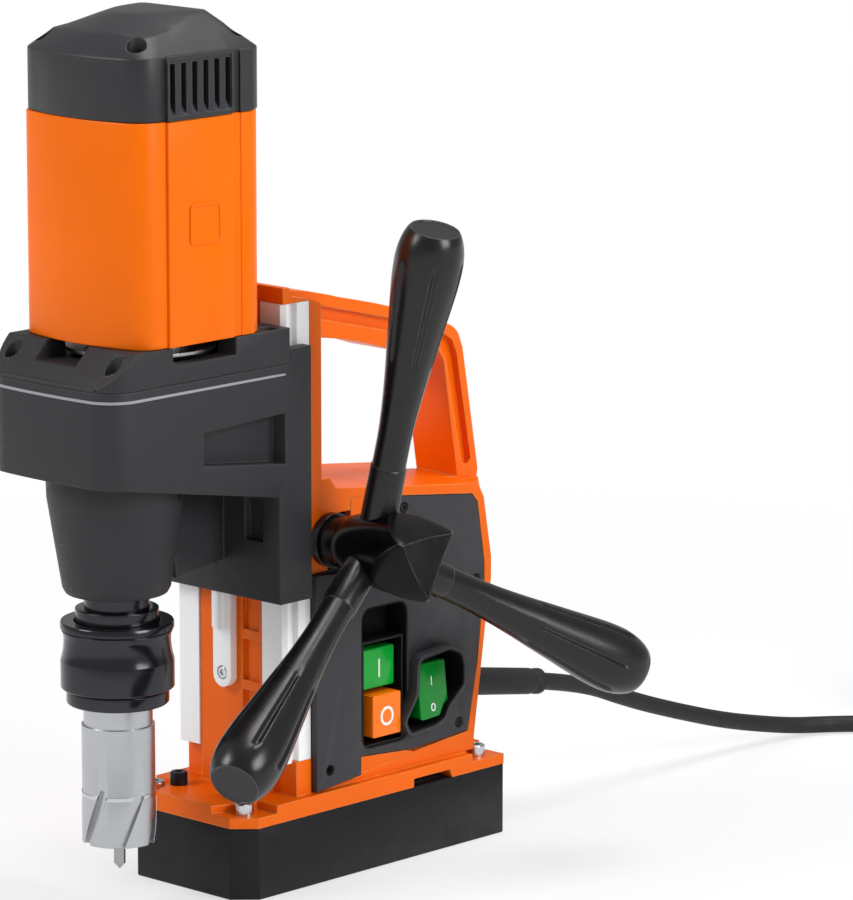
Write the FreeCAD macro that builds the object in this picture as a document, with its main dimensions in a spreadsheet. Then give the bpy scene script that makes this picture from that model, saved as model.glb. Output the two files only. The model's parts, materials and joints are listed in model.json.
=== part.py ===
"""Magnetic drill press: an electromagnet foot, a cast stand with guide rails, and a drill head
that a three-arm capstan feeds down the rails by rack and pinion.

Frame: origin at the centre of the magnet's pole face, +Z up, the spindle in front at -Y,
the controls and the capstan on the +X side. Millimetres.
"""
import FreeCAD
import Part
import Sketcher
import math
import os

V = FreeCAD.Vector

SIZES = {
    # magnet foot
    "foot_wide": 90, "foot_long": 195, "foot_high": 37.8, "foot_corner": 10.65,
    "groove_deep": 30, "groove_outer_x": 30, "groove_outer_y": 72, "groove_inner_x": 14, "groove_inner_y": 56,
    # cast stand
    "flange_top": 47.5, "pad_top": 43.3, "half_wide": 40, "wing_front": -43.6, "post_rear": -35.2,
    "column_front": -61.5, "bar_x": -2.7, "bar_half": 6.5, "column_half": 23, "rail_low": 66,
    "rail_high": 306.5, "cap_top": 315,
    "handle_half": 15, "wall_inner": -34, "cover_thick": 3, "strip_proud": 4, "notch_high": 4.6,
    # guide rails
    "rail_inner": 23.4, "rail_outer": 39.8, "rail_front": -62.5, "groove_low_y": -57.6,
    "groove_high_y": -52.6,
    "groove_floor": 36.3,
    # feed
    "feed_y": -30, "feed_z": 180, "feed_module": 2, "feed_teeth": 14, "tooth_play": 0.25,
    "rack_low": 153.5, "rack_high": 284.5, "rack_left": 6, "rack_right": 18, "rack_back": -57,
    "shaft_radius": 7, "bush_radius": 9, "arm_origin": 71.4, "arm_tilt": 15.5, "arm_phase": 91.2,
    "arm_long": 177, "rod_radius": 5, "grip_start": 33,
    # drill head
    "spindle_y": -142.5, "motor_y": -124, "head_half": 46.5, "head_front": -187, "head_low": 227,
    "head_split": 277.5, "cover_high": 295.9, "cover_rear": -64, "carriage_low": 153, "carriage_high": 285,
    "carriage_front": -72, "carriage_back": -62.8, "carriage_rear": -48.8, "nose_low": 165, "web_half": 5,
    "nose_bore": 24, "motor_low": 296, "motor_high": 409, "motor_half_x": 44.5, "motor_front": -162.6,
    "motor_rear": -78.5,
    "motor_bore": 38.6, "cap_rim": 441, "cap_high": 458, "corner": 13, "front_bow": 7.6, "side_bow": 1.6,
    # gear train
    "first_module": 1, "armature_teeth": 8, "lay_teeth": 36, "second_module": 1.5, "lay_pinion_teeth": 12,
    "spindle_teeth": 40, "lay_x": 11.45, "lay_y": -105.22, "second_low": 236, "second_high": 250,
    "first_low": 263, "first_high": 274,
    # chuck, cutter and pilot
    "chuck_low": 107.4, "shank_radius": 9.5, "cutter_radius": 19.4, "cutter_bore": 15.6, "cutter_low": 35,
    "pilot_radius": 3, "pilot_tip": 19.4, "pilot_top": 139,
    # controls
    "button_low_y": -0.6, "button_high_y": 20.4, "rocker_y": 45, "rocker_x": 36.5, "rocker_z": 86,
    # mains cord
    "cord_radius": 4.75, "cord_x": 20, "gland_y": 90, "gland_z": 80, "coil_x": 70, "coil_y": 501.3,
    "coil_outer": 69.5, "coil_inner": 40.5, "coil_high": 38, "plug_radius": 18.5,
}


class Dim:
    """A size with the sheet formula that gives it, so that what is built from it stays bound."""

    def __init__(self, value, text):
        self.value = value
        self.text = text

    def joined(self, other, value, sign, swap=False):
        left, right = (other.text, self.text) if swap else (self.text, other.text)
        return Dim(value, "(%s %s %s)" % (left, sign, right))

    def __add__(self, other):
        other = dim(other)
        return self.joined(other, self.value + other.value, "+")

    def __sub__(self, other):
        other = dim(other)
        return self.joined(other, self.value - other.value, "-")

    def __mul__(self, other):
        other = dim(other)
        return self.joined(other, self.value * other.value, "*")

    def __truediv__(self, other):
        other = dim(other)
        return self.joined(other, self.value / other.value, "/")

    def __radd__(self, other):
        return dim(other) + self

    def __rsub__(self, other):
        return dim(other) - self

    def __rmul__(self, other):
        return dim(other) * self

    def __neg__(self):
        return dim(0) - self


def dim(size):
    """A plain number as a Dim; a Dim stays as it is."""
    return size if isinstance(size, Dim) else Dim(float(size), "%.6f" % size)


def make_sheet(doc):
    """Put the driving sizes in a sheet, and return them by name as Dims."""
    sheet = doc.addObject("Spreadsheet::Sheet", "Sizes")
    named = {}
    for row, (name, size) in enumerate(SIZES.items(), start=1):
        cell = "A%d" % row
        sheet.set(cell, str(size))
        sheet.setAlias(cell, name)
        named[name] = Dim(float(size), "Sizes." + name)
    doc.recompute()
    return named


class Sizes:
    """Attribute access to the sheet's Dims."""

    def __init__(self, named):
        self.__dict__.update(named)


DOC = FreeCAD.newDocument("magnetic_drill_press")
S = Sizes(make_sheet(DOC))
NODES = []


# ---------------------------------------------------------------- construction helpers

def bind(thing, prop, size):
    thing.setExpression(prop, dim(size).text)


def place(thing, x=0, y=0, z=0, turn=None):
    """Bind where a thing stands; turn is a fixed rotation."""
    if turn is not None:
        thing.Placement = FreeCAD.Placement(V(0, 0, 0), turn)
    for axis, size in zip("xyz", (x, y, z)):
        bind(thing, "Placement.Base." + axis, size)


def node(thing, name):
    """Name a finished sub-part."""
    thing.Label = name
    NODES.append(thing)
    return thing


def new_body(name):
    return DOC.addObject("PartDesign::Body", name + "_body")


def origin_plane(body, role):
    return next(plane for plane in body.Origin.OriginFeatures if plane.Role == role)


def add_side(sketch, start, end, sagitta):
    """Add one side of an outline, and return its start and end point numbers."""
    a = V(start[0].value, start[1].value, 0)
    b = V(end[0].value, end[1].value, 0)
    if not sagitta:
        sketch.addGeometry(Part.LineSegment(a, b), False)
        return 1, 2
    along = b - a
    middle = (a + b) * 0.5 + V(along.y, -along.x, 0).normalize() * sagitta
    clockwise = sagitta < 0
    ends = (b, middle, a) if clockwise else (a, middle, b)
    index = sketch.addGeometry(Part.Arc(*ends), False)
    dx, dy = end[0] - start[0], end[1] - start[1]
    radius = ((dx * dx + dy * dy) / 4 + sagitta * sagitta) / (2 * abs(sagitta))
    mark = sketch.addConstraint(Sketcher.Constraint("Radius", index, radius.value))
    sketch.setExpression("Constraints[%d]" % mark, radius.text)
    return (2, 1) if clockwise else (1, 2)


def add_outline(sketch, points):
    """Add a closed outline, each corner bound to the sheet. A point's third value bows the side after it."""
    corners = [(dim(p[0]), dim(p[1])) for p in points]
    bows = [p[2] if len(p) > 2 else 0 for p in points]
    first = sketch.GeometryCount
    count = len(corners)
    ends = [add_side(sketch, corners[i], corners[(i + 1) % count], bows[i]) for i in range(count)]
    for i in range(count):
        after = (i + 1) % count
        sketch.addConstraint(Sketcher.Constraint("Coincident", first + i, ends[i][1], first + after,
                                                 ends[after][0]))
        for kind, axis, size in (("DistanceX", -2, corners[i][0]), ("DistanceY", -1, corners[i][1])):
            if abs(size.value) < 1e-9:
                sketch.addConstraint(Sketcher.Constraint("PointOnObject", first + i, ends[i][0], axis))
                continue
            mark = sketch.addConstraint(Sketcher.Constraint(kind, -1, 1, first + i, ends[i][0], size.value))
            sketch.setExpression("Constraints[%d]" % mark, size.text)


def add_circle(sketch, x, y, radius):
    """Add a circle, its centre and radius bound to the sheet."""
    x, y, radius = dim(x), dim(y), dim(radius)
    index = sketch.addGeometry(Part.Circle(V(x.value, y.value, 0), V(0, 0, 1), radius.value), False)
    for kind, axis, size in (("DistanceX", -2, x), ("DistanceY", -1, y)):
        if abs(size.value) < 1e-9:
            sketch.addConstraint(Sketcher.Constraint("PointOnObject", index, 3, axis))
            continue
        mark = sketch.addConstraint(Sketcher.Constraint(kind, -1, 1, index, 3, size.value))
        sketch.setExpression("Constraints[%d]" % mark, size.text)
    mark = sketch.addConstraint(Sketcher.Constraint("Radius", index, radius.value))
    sketch.setExpression("Constraints[%d]" % mark, radius.text)


def make_sketch(body, plane, loops, offset=(0, 0, 0)):
    """A sketch on an origin plane; a loop is a list of points, or a circle as (x, y, radius)."""
    sketch = body.newObject("Sketcher::SketchObject", "Sketch")
    sketch.AttachmentSupport = [(origin_plane(body, plane + "_Plane"), "")]
    sketch.MapMode = "FlatFace"
    for loop in loops:
        if isinstance(loop, tuple):
            add_circle(sketch, *loop)
        else:
            add_outline(sketch, loop)
    for axis, size in zip("xyz", offset):
        bind(sketch, "AttachmentOffset.Base." + axis, size)
    return sketch


def slab(body, plane, loops, low, high, cut=False):
    """Fill, or cut, the loops between two levels along the plane's axis.

    The axis is Z for XY, X for YZ and Y for XZ. The XZ plane's own normal is -Y.
    """
    low, high = dim(low), dim(high)
    toward_minus = plane == "XZ"
    level = high if cut != toward_minus else low
    sketch = make_sketch(body, plane, loops, (0, 0, -level if toward_minus else level))
    feature = body.newObject("PartDesign::Pocket" if cut else "PartDesign::Pad", "Cut" if cut else "Fill")
    feature.Profile = sketch
    bind(feature, "Length", high - low)
    return feature


def spin(body, profile, x=0, y=0, cut=False):
    """Turn a profile of (radius, Z) points about the vertical axis at x, y."""
    sketch = make_sketch(body, "XZ", [profile], (x, 0, -dim(y)))
    feature = body.newObject("PartDesign::Groove" if cut else "PartDesign::Revolution", "Turn")
    feature.Profile = sketch
    feature.ReferenceAxis = (sketch, ["V_Axis"])
    feature.Angle = 360
    return feature


def spin_x(body, profile, y, z, cut=False):
    """Turn a profile of (X, radius) points about the axis along X at y, z."""
    sketch = make_sketch(body, "XY", [profile], (0, y, z))
    feature = body.newObject("PartDesign::Groove" if cut else "PartDesign::Revolution", "Turn")
    feature.Profile = sketch
    feature.ReferenceAxis = (sketch, ["H_Axis"])
    feature.Angle = 360
    return feature


def soften(body, radius, chosen, kind="Fillet"):
    """Fillet or chamfer the edges that chosen(edge) picks."""
    DOC.recompute()
    base = body.Tip
    names = ["Edge%d" % (i + 1) for i, edge in enumerate(base.Shape.Edges) if chosen(edge)]
    feature = body.newObject("PartDesign::" + kind, kind)
    feature.Base = (base, names)
    bind(feature, "Radius" if kind == "Fillet" else "Size", radius)
    return feature


def upright(edge):
    """True for a straight vertical edge."""
    ends = [vertex.Point for vertex in edge.Vertexes]
    return len(ends) == 2 and abs(ends[0].x - ends[1].x) < 0.01 and abs(ends[0].y - ends[1].y) < 0.01


def box(x0, x1, y0, y1, z0, z1):
    """A Part box between two corners."""
    thing = DOC.addObject("Part::Box", "Box")
    for prop, low, high in (("Length", x0, x1), ("Width", y0, y1), ("Height", z0, z1)):
        bind(thing, prop, dim(high) - dim(low))
    place(thing, x0, y0, z0)
    return thing


def cylinder(radius, length, x=0, y=0, z=0, turn=None):
    """A Part cylinder that stands at x, y, z along its turned axis."""
    thing = DOC.addObject("Part::Cylinder", "Cylinder")
    bind(thing, "Radius", radius)
    bind(thing, "Height", length)
    place(thing, x, y, z, turn)
    return thing


def fused(things):
    thing = DOC.addObject("Part::MultiFuse", "Fuse")
    thing.Shapes = things
    return thing


def less(base, tool):
    thing = DOC.addObject("Part::Cut", "Less")
    thing.Base = base
    thing.Tool = tool
    return thing


def group(name, things):
    """Several separate solids as one sub-part."""
    thing = DOC.addObject("Part::Compound", name + "_group")
    thing.Links = things
    return node(thing, name)


ALONG_PLUS_Y = FreeCAD.Rotation(V(0, 0, 1), V(0, 1, 0))
ALONG_MINUS_Y = FreeCAD.Rotation(V(0, 0, 1), V(0, -1, 0))
ALONG_PLUS_X = FreeCAD.Rotation(V(0, 0, 1), V(1, 0, 0))


def cap_screw(x, y, z, shank, length, head, head_high, turn=None):
    """A socket head screw whose head seat is at x, y, z, its shank running down its own -Z."""
    body = new_body("screw")
    spin(body, [(0, -dim(length)), (shank, -dim(length)), (shank, 0), (head, 0), (head, head_high - 0.6),
                (head - 0.6, head_high), (0, head_high)])
    socket = [(0.5 * head * math.cos(math.radians(60 * i)), 0.5 * head * math.sin(math.radians(60 * i)))
              for i in range(6)]
    slab(body, "XY", [socket], 0.5 * head_high, head_high + 0.1, cut=True)
    place(body, x, y, z, turn)
    return body


# ---------------------------------------------------------------- magnet foot

def foot_plan(grow=0):
    """The foot's plan: a rectangle with its two front corners cut off."""
    x, y, c = S.foot_wide / 2 + grow, S.foot_long / 2 + grow, S.foot_corner
    return [(-x + c, -y), (x - c, -y), (x, -y + c), (x, y), (-x, y), (-x, -y + c)]


def ring_rect(outer_x, outer_y, inner_x, inner_y):
    """Two nested rectangles about the origin."""
    return [[(-x, -y), (x, -y), (x, y), (-x, y)] for x, y in ((outer_x, outer_y), (inner_x, inner_y))]


FOOT_SCREWS = [(-33, -85.5), (33, -85.5), (36, 85), (-36, 85)]
COLUMN_SCREWS = [(-23.2, -78), (23.2, -78)]
BAR_SCREWS = (108.7, 290)


def magnet():
    """The pole body with its ring groove, the coil in it and the resin that closes it."""
    body = new_body("magnet_body")
    slab(body, "XY", [foot_plan()], 0, S.foot_high)
    slab(body, "XY", ring_rect(S.groove_outer_x, S.groove_outer_y, S.groove_inner_x, S.groove_inner_y),
         0, S.groove_deep, cut=True)
    slab(body, "XY", [(x, y, 3.05) for x, y in FOOT_SCREWS + COLUMN_SCREWS], 18, S.foot_high, cut=True)
    node(body, "magnet_body")
    for name, low, high in (("magnet_coil", 5.8, 29.5), ("magnet_potting", 0.3, 5.6)):
        ring = new_body(name)
        slab(ring, "XY", ring_rect(S.groove_outer_x - 0.4, S.groove_outer_y - 0.4,
                                   S.groove_inner_x + 0.4, S.groove_inner_y + 0.4), low, high)
        node(ring, name)


def foot_screws():
    """Bright screws on the corner pads and dark ones in front of the column."""
    group("foot_screws", [cap_screw(x, y, S.pad_top, 3, 24, 5, 6) for x, y in FOOT_SCREWS])
    group("column_screws", [cap_screw(x, y, S.flange_top, 3, 28, 4.6, 7) for x, y in COLUMN_SCREWS])


# ---------------------------------------------------------------- cast stand

HOUSING = [(-43.6, 47.4), (79.3, 47.4), (79.5, 56), (88.6, 118.3), (92.6, 139.7), (92.7, 151.4),
           (86.8, 185), (82, 193.3), (-11.9, 204.7), (-24, 212), (-43.6, 212)]
COVER_SHAPE = [(-43.4, 48.2), (31.9, 55.7), (74.6, 59.3), (82.2, 96.6), (87.3, 140), (87.3, 149), (82, 183),
               (77.7, 187.7), (22, 195), (-14, 199), (-14, 164.4), (-43.4, 163)]
INTERIOR = [(-31, 52.5), (31.5, 59.5), (71, 62.5), (78.5, 97), (83.2, 140.5), (83.2, 148.5), (78.5, 181),
            (75, 184), (22, 191), (-14, 193), (-31, 193)]
HANDLE = [(-43.6, 300), (-43.6, 309, -1.2), (5, 299, -1.6), (83.5, 275.6, -1), (93.5, 269),
          (96.8, 261), (108.6, 194), (107, 182), (92.6, 150), (60, 150), (-43.6, 180)]
HANDLE_OPENING = [(-29, 212), (-24.5, 206.2), (92.8, 191.5), (82.2, 256), (78, 261.8), (42, 266.6, 1.2),
                  (-8, 279.5), (-29, 283)]
HANDLE_CHANNEL = [(-24, 292), (-8, 289), (42, 276.6), (74, 265.8), (80.4, 262.2), (84, 256), (95.6, 200),
                  (97.3, 197.6), (101.2, 197), (103.2, 199.6), (92.4, 258), (88.8, 266), (80.5, 271.4),
                  (42, 283.4), (-8, 296), (-24, 299)]


def grown(points, amount):
    """A closed outline moved outwards by an amount, corner by corner."""
    moved = []
    count = len(points)
    for i in range(count):
        before, here, after = (V(*points[j % count], 0) for j in (i - 1, i, i + 1))
        first, second = (here - before).normalize(), (after - here).normalize()
        out = V(first.y + second.y, -first.x - second.x, 0)
        out = out * (2 * amount / (out.Length ** 2))
        moved.append((here.x + out.x, here.y + out.y))
    return moved


def stand_frame():
    """The one-piece casting: flange, column, gear housing and carry handle."""
    body = new_body("stand_frame")
    half = S.half_wide
    slab(body, "YZ", [HOUSING], -half, half)
    slab(body, "XY", [foot_plan()], S.foot_high, S.flange_top)
    plinth = [(-half, -54.5), (half, -54.5), (half, -43), (-half, -43)]
    slab(body, "XY", [plinth], S.flange_top - 0.1, S.rail_low)
    column = [(-S.column_half, S.column_front), (S.column_half, S.column_front), (S.column_half, -43),
              (-S.column_half, -43)]
    slab(body, "XY", [column], S.flange_top - 0.1, S.rail_high + 0.5)
    wings = [(-half, S.wing_front), (half, S.wing_front), (half, S.post_rear), (-half, S.post_rear)]
    slab(body, "XY", [wings], S.flange_top, S.rail_high - 3.5)
    top = S.rail_high + 0.1
    cap = [(-62.5, top), (-43.7, top), (-43.7, 302), (S.post_rear, 302), (S.post_rear, 304), (-43, 307.2),
           (-56, 310), (-58.5, S.cap_top), (-62.5, S.cap_top)]
    slab(body, "YZ", [cap], -half, half)
    slab(body, "YZ", [HANDLE], -S.handle_half, S.handle_half)
    heel = [(-S.handle_half, 109), (-half, 84), (-half, 60), (half, 60), (half, 84), (S.handle_half, 109)]
    slab(body, "XY", [heel], 168, 189)
    slab(body, "YZ", [HANDLE_OPENING], -41, 41, cut=True)
    for side in (-1, 1):
        low, high = sorted((side * 10.5, side * 15.5))
        slab(body, "YZ", [HANDLE_CHANNEL], low, high, cut=True)
    stand_hollows(body)
    stand_fixings(body)
    node(body, "stand_frame")


def stand_hollows(body):
    """Cover rebate, switch space, gear chamber, rack channel and the slot in the column's front."""
    half = S.half_wide
    slab(body, "YZ", [grown(COVER_SHAPE, 0.25)], half - S.cover_thick - 0.1, half + 0.1, cut=True)
    slab(body, "YZ", [INTERIOR], S.wall_inner, half, cut=True)
    spin_x(body, [(S.wall_inner - 1, 0), (S.wall_inner - 1, 13.4), (39.5, 13.4), (39.5, 0)], S.feed_y,
           S.feed_z)
    slab(body, "YZ", [(y, z, 4.2) for y, z in COVER_SCREWS], S.wall_inner - 1, half - S.cover_thick)
    slab(body, "YZ", [(y, z, 1.6) for y, z in COVER_SCREWS], half - 8, half, cut=True)
    spin_x(body, [(S.wall_inner, 0), (S.wall_inner, S.bush_radius + 0.05), (40, S.bush_radius + 0.05),
                  (40, 0)],
           S.feed_y, S.feed_z, cut=True)
    chamber = [(3, -57.4), (21, -57.4), (21, -12), (3, -12)]
    slab(body, "XY", [chamber], S.feed_z - 17.5, S.feed_z + 17.5, cut=True)
    channel = [(5.2, -57.4), (18.8, -57.4), (18.8, -41.2), (5.2, -41.2)]
    slab(body, "XY", [channel], 56, 305, cut=True)
    slab(body, "XY", [[(7, -62), (17, -62), (17, -57), (7, -57)]], 154, 304, cut=True)
    for low, high in ((70, 101), (106, 128), (133, 150)):
        slab(body, "XY", [[(8, -62), (20.5, -62), (20.5, -58.8), (8, -58.8)]], low, high, cut=True)
    notch = [(28, S.foot_high - 1), (58, S.foot_high - 1), (55.5, S.foot_high + S.notch_high),
             (28, S.foot_high + S.notch_high)]
    slab(body, "YZ", [notch], -46, 46, cut=True)


def stand_fixings(body):
    """Screw pads and holes."""
    for side in (-1, 1):
        front = [(side * 20.4, -99), (side * 30.5, -73.5), (side * 46, -73.5), (side * 46, -99)]
        rear = [(side * 27, 73), (side * 27, 99), (side * 46, 99), (side * 46, 73)]
        slab(body, "XY", [front[::side], rear[::side]], S.pad_top, S.flange_top + 1, cut=True)
    slab(body, "XY", [(x, y, 3.2) for x, y in FOOT_SCREWS + COLUMN_SCREWS], S.foot_high - 1, S.flange_top + 1,
         cut=True)
    for side in (-1, 1):
        for z in (96, 150, 285):
            less_bore(body, side * 31.5, S.wing_front - 1, z, 2.6, 5.5)
            less_bore(body, side * 31.5, -39.2, z, 4.5, 6)
    for z in BAR_SCREWS:
        less_bore(body, S.bar_x, -61.6, z, 1.8, 10)
    less_bore(body, S.cord_x, 70, S.gland_z, 6.2, 30)


def less_bore(body, x, y, z, radius, length):
    """Bore a hole of one length along +Y from y."""
    sketch = make_sketch(body, "XZ", [(x, z, radius)], (0, 0, -dim(y)))
    feature = body.newObject("PartDesign::Pocket", "Bore")
    feature.Profile = sketch
    bind(feature, "Length", length)
    return feature


def guide_rails():
    """Two ground rails with a groove in their outer side, and the screws that hold them from behind."""
    for name, side in (("guide_rail_left", -1), ("guide_rail_right", 1)):
        body = new_body(name)
        plan = [(S.rail_inner, S.rail_front), (37.7, S.rail_front), (S.rail_outer, -60.2),
                (S.rail_outer, S.groove_low_y), (S.groove_floor, S.groove_low_y),
                (S.groove_floor, S.groove_high_y), (S.rail_outer, S.groove_high_y),
                (S.rail_outer, S.wing_front - 0.1), (S.rail_inner, S.wing_front - 0.1)]
        plan = [(x * side, y) for x, y in plan][::side]
        slab(body, "XY", [plan], S.rail_low + 0.1, S.rail_high)
        for z in (96, 150, 285):
            less_bore(body, side * 31.5, -56, z, 2.55, 13)
        node(body, name)
    group("rail_screws", [cap_screw(side * 31.5, -39.2, z, 2.5, 16, 4, 3.8, ALONG_PLUS_Y)
                          for side in (-1, 1) for z in (96, 150, 285)])


def stop_bar():
    """The steel bar let into the column's front, and the countersunk screws that hold it."""
    body = new_body("stop_bar")
    x, half, back = S.bar_x, S.bar_half, -61.6
    plate = [(x - half, 107.5, 6.4), (x + half, 107.5), (x + half, 140), (x - half, 140)]
    slab(body, "XZ", [plate], -66, back)
    rounded = [(x - half, -64.2, 6.4), (x + half, -64.2), (x + half, back), (x - half, back)]
    slab(body, "XY", [rounded], 133, 300)
    for z in BAR_SCREWS:
        less_bore(body, x, -72, z, 1.9, 14)
        less_bore(body, x, -72, z, 3.7, 7.6)
    node(body, "stop_bar")
    group("stop_bar_screws", [cap_screw(x, -64.4, z, 1.75, 10, 3.5, 1.5, ALONG_MINUS_Y) for z in BAR_SCREWS])


# ---------------------------------------------------------------- feed: rack, pinion, capstan

def gear_outline(module, teeth, play, phase):
    """Corner points of an involute spur gear's outline, its first tooth centred on the phase angle."""
    pitch = module * teeth / 2
    base = pitch * math.cos(math.radians(20))
    tip, root = pitch + module, pitch - 1.25 * module
    half_tooth = (math.pi * module / 2 - play) / 2 / pitch
    spread = math.tan(math.radians(20)) - math.radians(20)
    points = []
    low = max(base, root)
    radii = [low + (tip - low) * i / 4 for i in range(5)]
    flank = []
    for radius in radii:
        angle = math.acos(min(1, base / radius))
        flank.append((radius, half_tooth + spread - (math.tan(angle) - angle)))
    flank = [(radius, max(turn, 0.12 * half_tooth)) for radius, turn in flank]
    if root < base:
        flank.insert(0, (root, flank[0][1]))
    for tooth in range(teeth):
        middle = phase + 2 * math.pi * tooth / teeth
        rising = [(radius, middle - turn) for radius, turn in flank]
        falling = [(radius, middle + turn) for radius, turn in flank[::-1]]
        points += [V(r * math.cos(a), r * math.sin(a), 0) for r, a in rising + falling]
    return points


def spur_gear(name, module, teeth, phase, low, high, bore):
    """A spur gear about its own Z axis, as a solid read from the sheet's sizes."""
    outline = gear_outline(module.value, int(teeth.value), S.tooth_play.value, phase)
    wire = Part.makePolygon(outline + [outline[0]])
    solid = Part.Face(wire).extrude(V(0, 0, high - low))
    if bore:
        solid = solid.cut(Part.makeCylinder(bore, high - low))
    thing = DOC.addObject("Part::Feature", name)
    thing.Shape = solid
    return thing


def feed_rack():
    """The rack behind the column's front wall, its teeth facing the pinion, and its two screws."""
    pitch = math.pi * S.feed_module.value
    line = S.feed_y.value - S.feed_module.value * S.feed_teeth.value / 2
    tip, root = line + S.feed_module.value, line - 1.25 * S.feed_module.value
    lean = math.tan(math.radians(20))
    half = (pitch / 2 - S.tooth_play.value) / 2
    low, high = S.rack_low.value, S.rack_high.value
    points = [V(0, S.rack_back.value, low), V(0, root, low)]
    index = math.ceil((low + half + 1.6 - S.feed_z.value) / pitch - 0.5)
    while S.feed_z.value + (index + 0.5) * pitch + half + 1.6 < high:
        middle = S.feed_z.value + (index + 0.5) * pitch
        for y, side in ((root, -1), (tip, -1), (tip, 1), (root, 1)):
            points.append(V(0, y, middle + side * (half - (y - line) * lean)))
        index += 1
    points += [V(0, root, high), V(0, S.rack_back.value, high)]
    left, right = S.rack_left.value, S.rack_right.value
    solid = Part.Face(Part.makePolygon(points + [points[0]])).extrude(V(right - left, 0, 0))
    solid.translate(V(left, 0, 0))
    for z in RACK_SCREWS:
        solid = solid.cut(Part.makeCylinder(2.05, 8, V(12, -58, z), V(0, 1, 0)))
    thing = DOC.addObject("Part::Feature", "feed_rack")
    thing.Shape = solid
    node(thing, "feed_rack")
    group("rack_screws", [cap_screw(12, -76.5, z, 2, 24, 3.5, 3.4, ALONG_MINUS_Y) for z in RACK_SCREWS])


RACK_SCREWS = (257, 271)


def pinion_shaft():
    """Shaft, pinion and bright collar in one piece, in two bushes."""
    shaft = new_body("shaft")
    running = S.shaft_radius - 0.06
    spin_x(shaft, [(-20, 0), (-20, running), (40.5, running), (40.5, 14.3), (45, 14.3), (45, running),
                   (78, running), (78, 0)], S.feed_y, S.feed_z)
    pinion = spur_gear("pinion", S.feed_module, S.feed_teeth, math.pi, 5.5, 18.5, 0)
    pinion.Placement = FreeCAD.Placement(V(5.5, S.feed_y.value, S.feed_z.value),
                                         FreeCAD.Rotation(V(0, 1, 0), V(0, 0, 1), V(1, 0, 0), "ZXY"))
    node(fused([shaft, pinion]), "pinion_shaft")
    bushes = []
    for low, high in ((-20, 2.5), (21.5, 39.4)):
        bush = new_body("bush")
        inner, outer = S.shaft_radius, S.bush_radius
        spin_x(bush, [(low, inner), (low, outer), (high, outer), (high, inner)], S.feed_y, S.feed_z)
        bushes.append(bush)
    group("pinion_bushes", bushes)


def arm_turn(index):
    """The rotation that lays an arm's own +Z along arm number index."""
    phase = math.radians(S.arm_phase.value + 120 * index)
    tilt = math.radians(S.arm_tilt.value)
    along = V(math.sin(tilt), math.cos(tilt) * math.cos(phase), math.cos(tilt) * math.sin(phase))
    return FreeCAD.Rotation(V(0, 0, 1), along)


def capstan():
    """Hub with three sockets, the lever rods and their moulded grips."""
    hub = new_body("hub")
    spin_x(hub, [(45.1, S.shaft_radius), (45.1, 12.5), (56, 12.5), (64, 18), (84, 21), (96, 19.5), (110, 11),
                 (114, 8), (114, 0), (78.2, 0), (78.2, S.shaft_radius)], S.feed_y, S.feed_z)
    sockets = [cylinder(12.2, 31, S.arm_origin, S.feed_y, S.feed_z, arm_turn(i)) for i in range(3)]
    bores = [cylinder(S.rod_radius + 0.05, 40, S.arm_origin, S.feed_y, S.feed_z, arm_turn(i))
             for i in range(3)]
    centre = cylinder(S.shaft_radius, 34, 44, S.feed_y, S.feed_z, ALONG_PLUS_X)
    node(less(fused([hub] + sockets), fused([centre] + bores)), "capstan_hub")
    rods = []
    for i in range(3):
        rod = new_body("rod")
        spin(rod, [(0, 13), (S.rod_radius, 13), (S.rod_radius, 160), (0, 160)])
        place(rod, S.arm_origin, S.feed_y, S.feed_z, arm_turn(i))
        rods.append(rod)
    group("lever_rods", rods)
    for i in range(3):
        grip = new_body("grip")
        bore, start, end = S.rod_radius + 0.05, S.grip_start, S.arm_long
        spin(grip, [(bore, start), (9.4, start), (9.4, start + 14), (8.7, start + 15), (8.8, start + 32),
                    (11.2, start + 64), (14.6, start + 94), (17, start + 114), (17.5, start + 124),
                    (17, end - 11), (15, end - 4), (12.8, end), (0, end), (0, 160.5), (bore, 160.5)])
        place(grip, S.arm_origin, S.feed_y, S.feed_z, arm_turn(i))
        node(grip, "lever_grip_%d" % (i + 1))


# ---------------------------------------------------------------- side cover and switches

def rect(y0, y1, z0, z1):
    return [(y0, z0), (y1, z0), (y1, z1), (y0, z1)]


COVER_SCREWS = [(-33.5, 58.4), (81, 141), (26, 188), (68, 65)]
GUARD = [(23, 66.5), (34, 62.5), (58, 66), (67.5, 84), (67.5, 101), (60, 110.5), (50, 113), (23, 109.5)]


def side_cover():
    """The plate over the housing's open side, with a proud strip along its front edge."""
    body = new_body("side_cover")
    half = S.half_wide
    slab(body, "YZ", [COVER_SHAPE], half - S.cover_thick, half)
    strip = [(-43.4, 48.4), (-6.5, 52.1), (-6.5, 162.8), (-43.4, 162.8)]
    slab(body, "YZ", [strip], half - 0.1, half + S.strip_proud)
    slab(body, "YZ", [(S.feed_y, S.feed_z, 16), rect(-5.9, 25.6, 64.1, 120.9), rect(30, 60, 66, 107.5)],
         half - 5, half + S.strip_proud + 1, cut=True)
    slab(body, "YZ", [(y, z, 1.6) for y, z in COVER_SCREWS], half - 5, half + 5, cut=True)
    slab(body, "YZ", [(y, z, 2.9) for y, z in COVER_SCREWS], half - 1.6, half + 5, cut=True)
    node(body, "side_cover")
    group("cover_screws", [cap_screw(half - 1.6, y, z, 1.5, 5, 2.7, 1.4, ALONG_PLUS_X)
                           for y, z in COVER_SCREWS])


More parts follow.
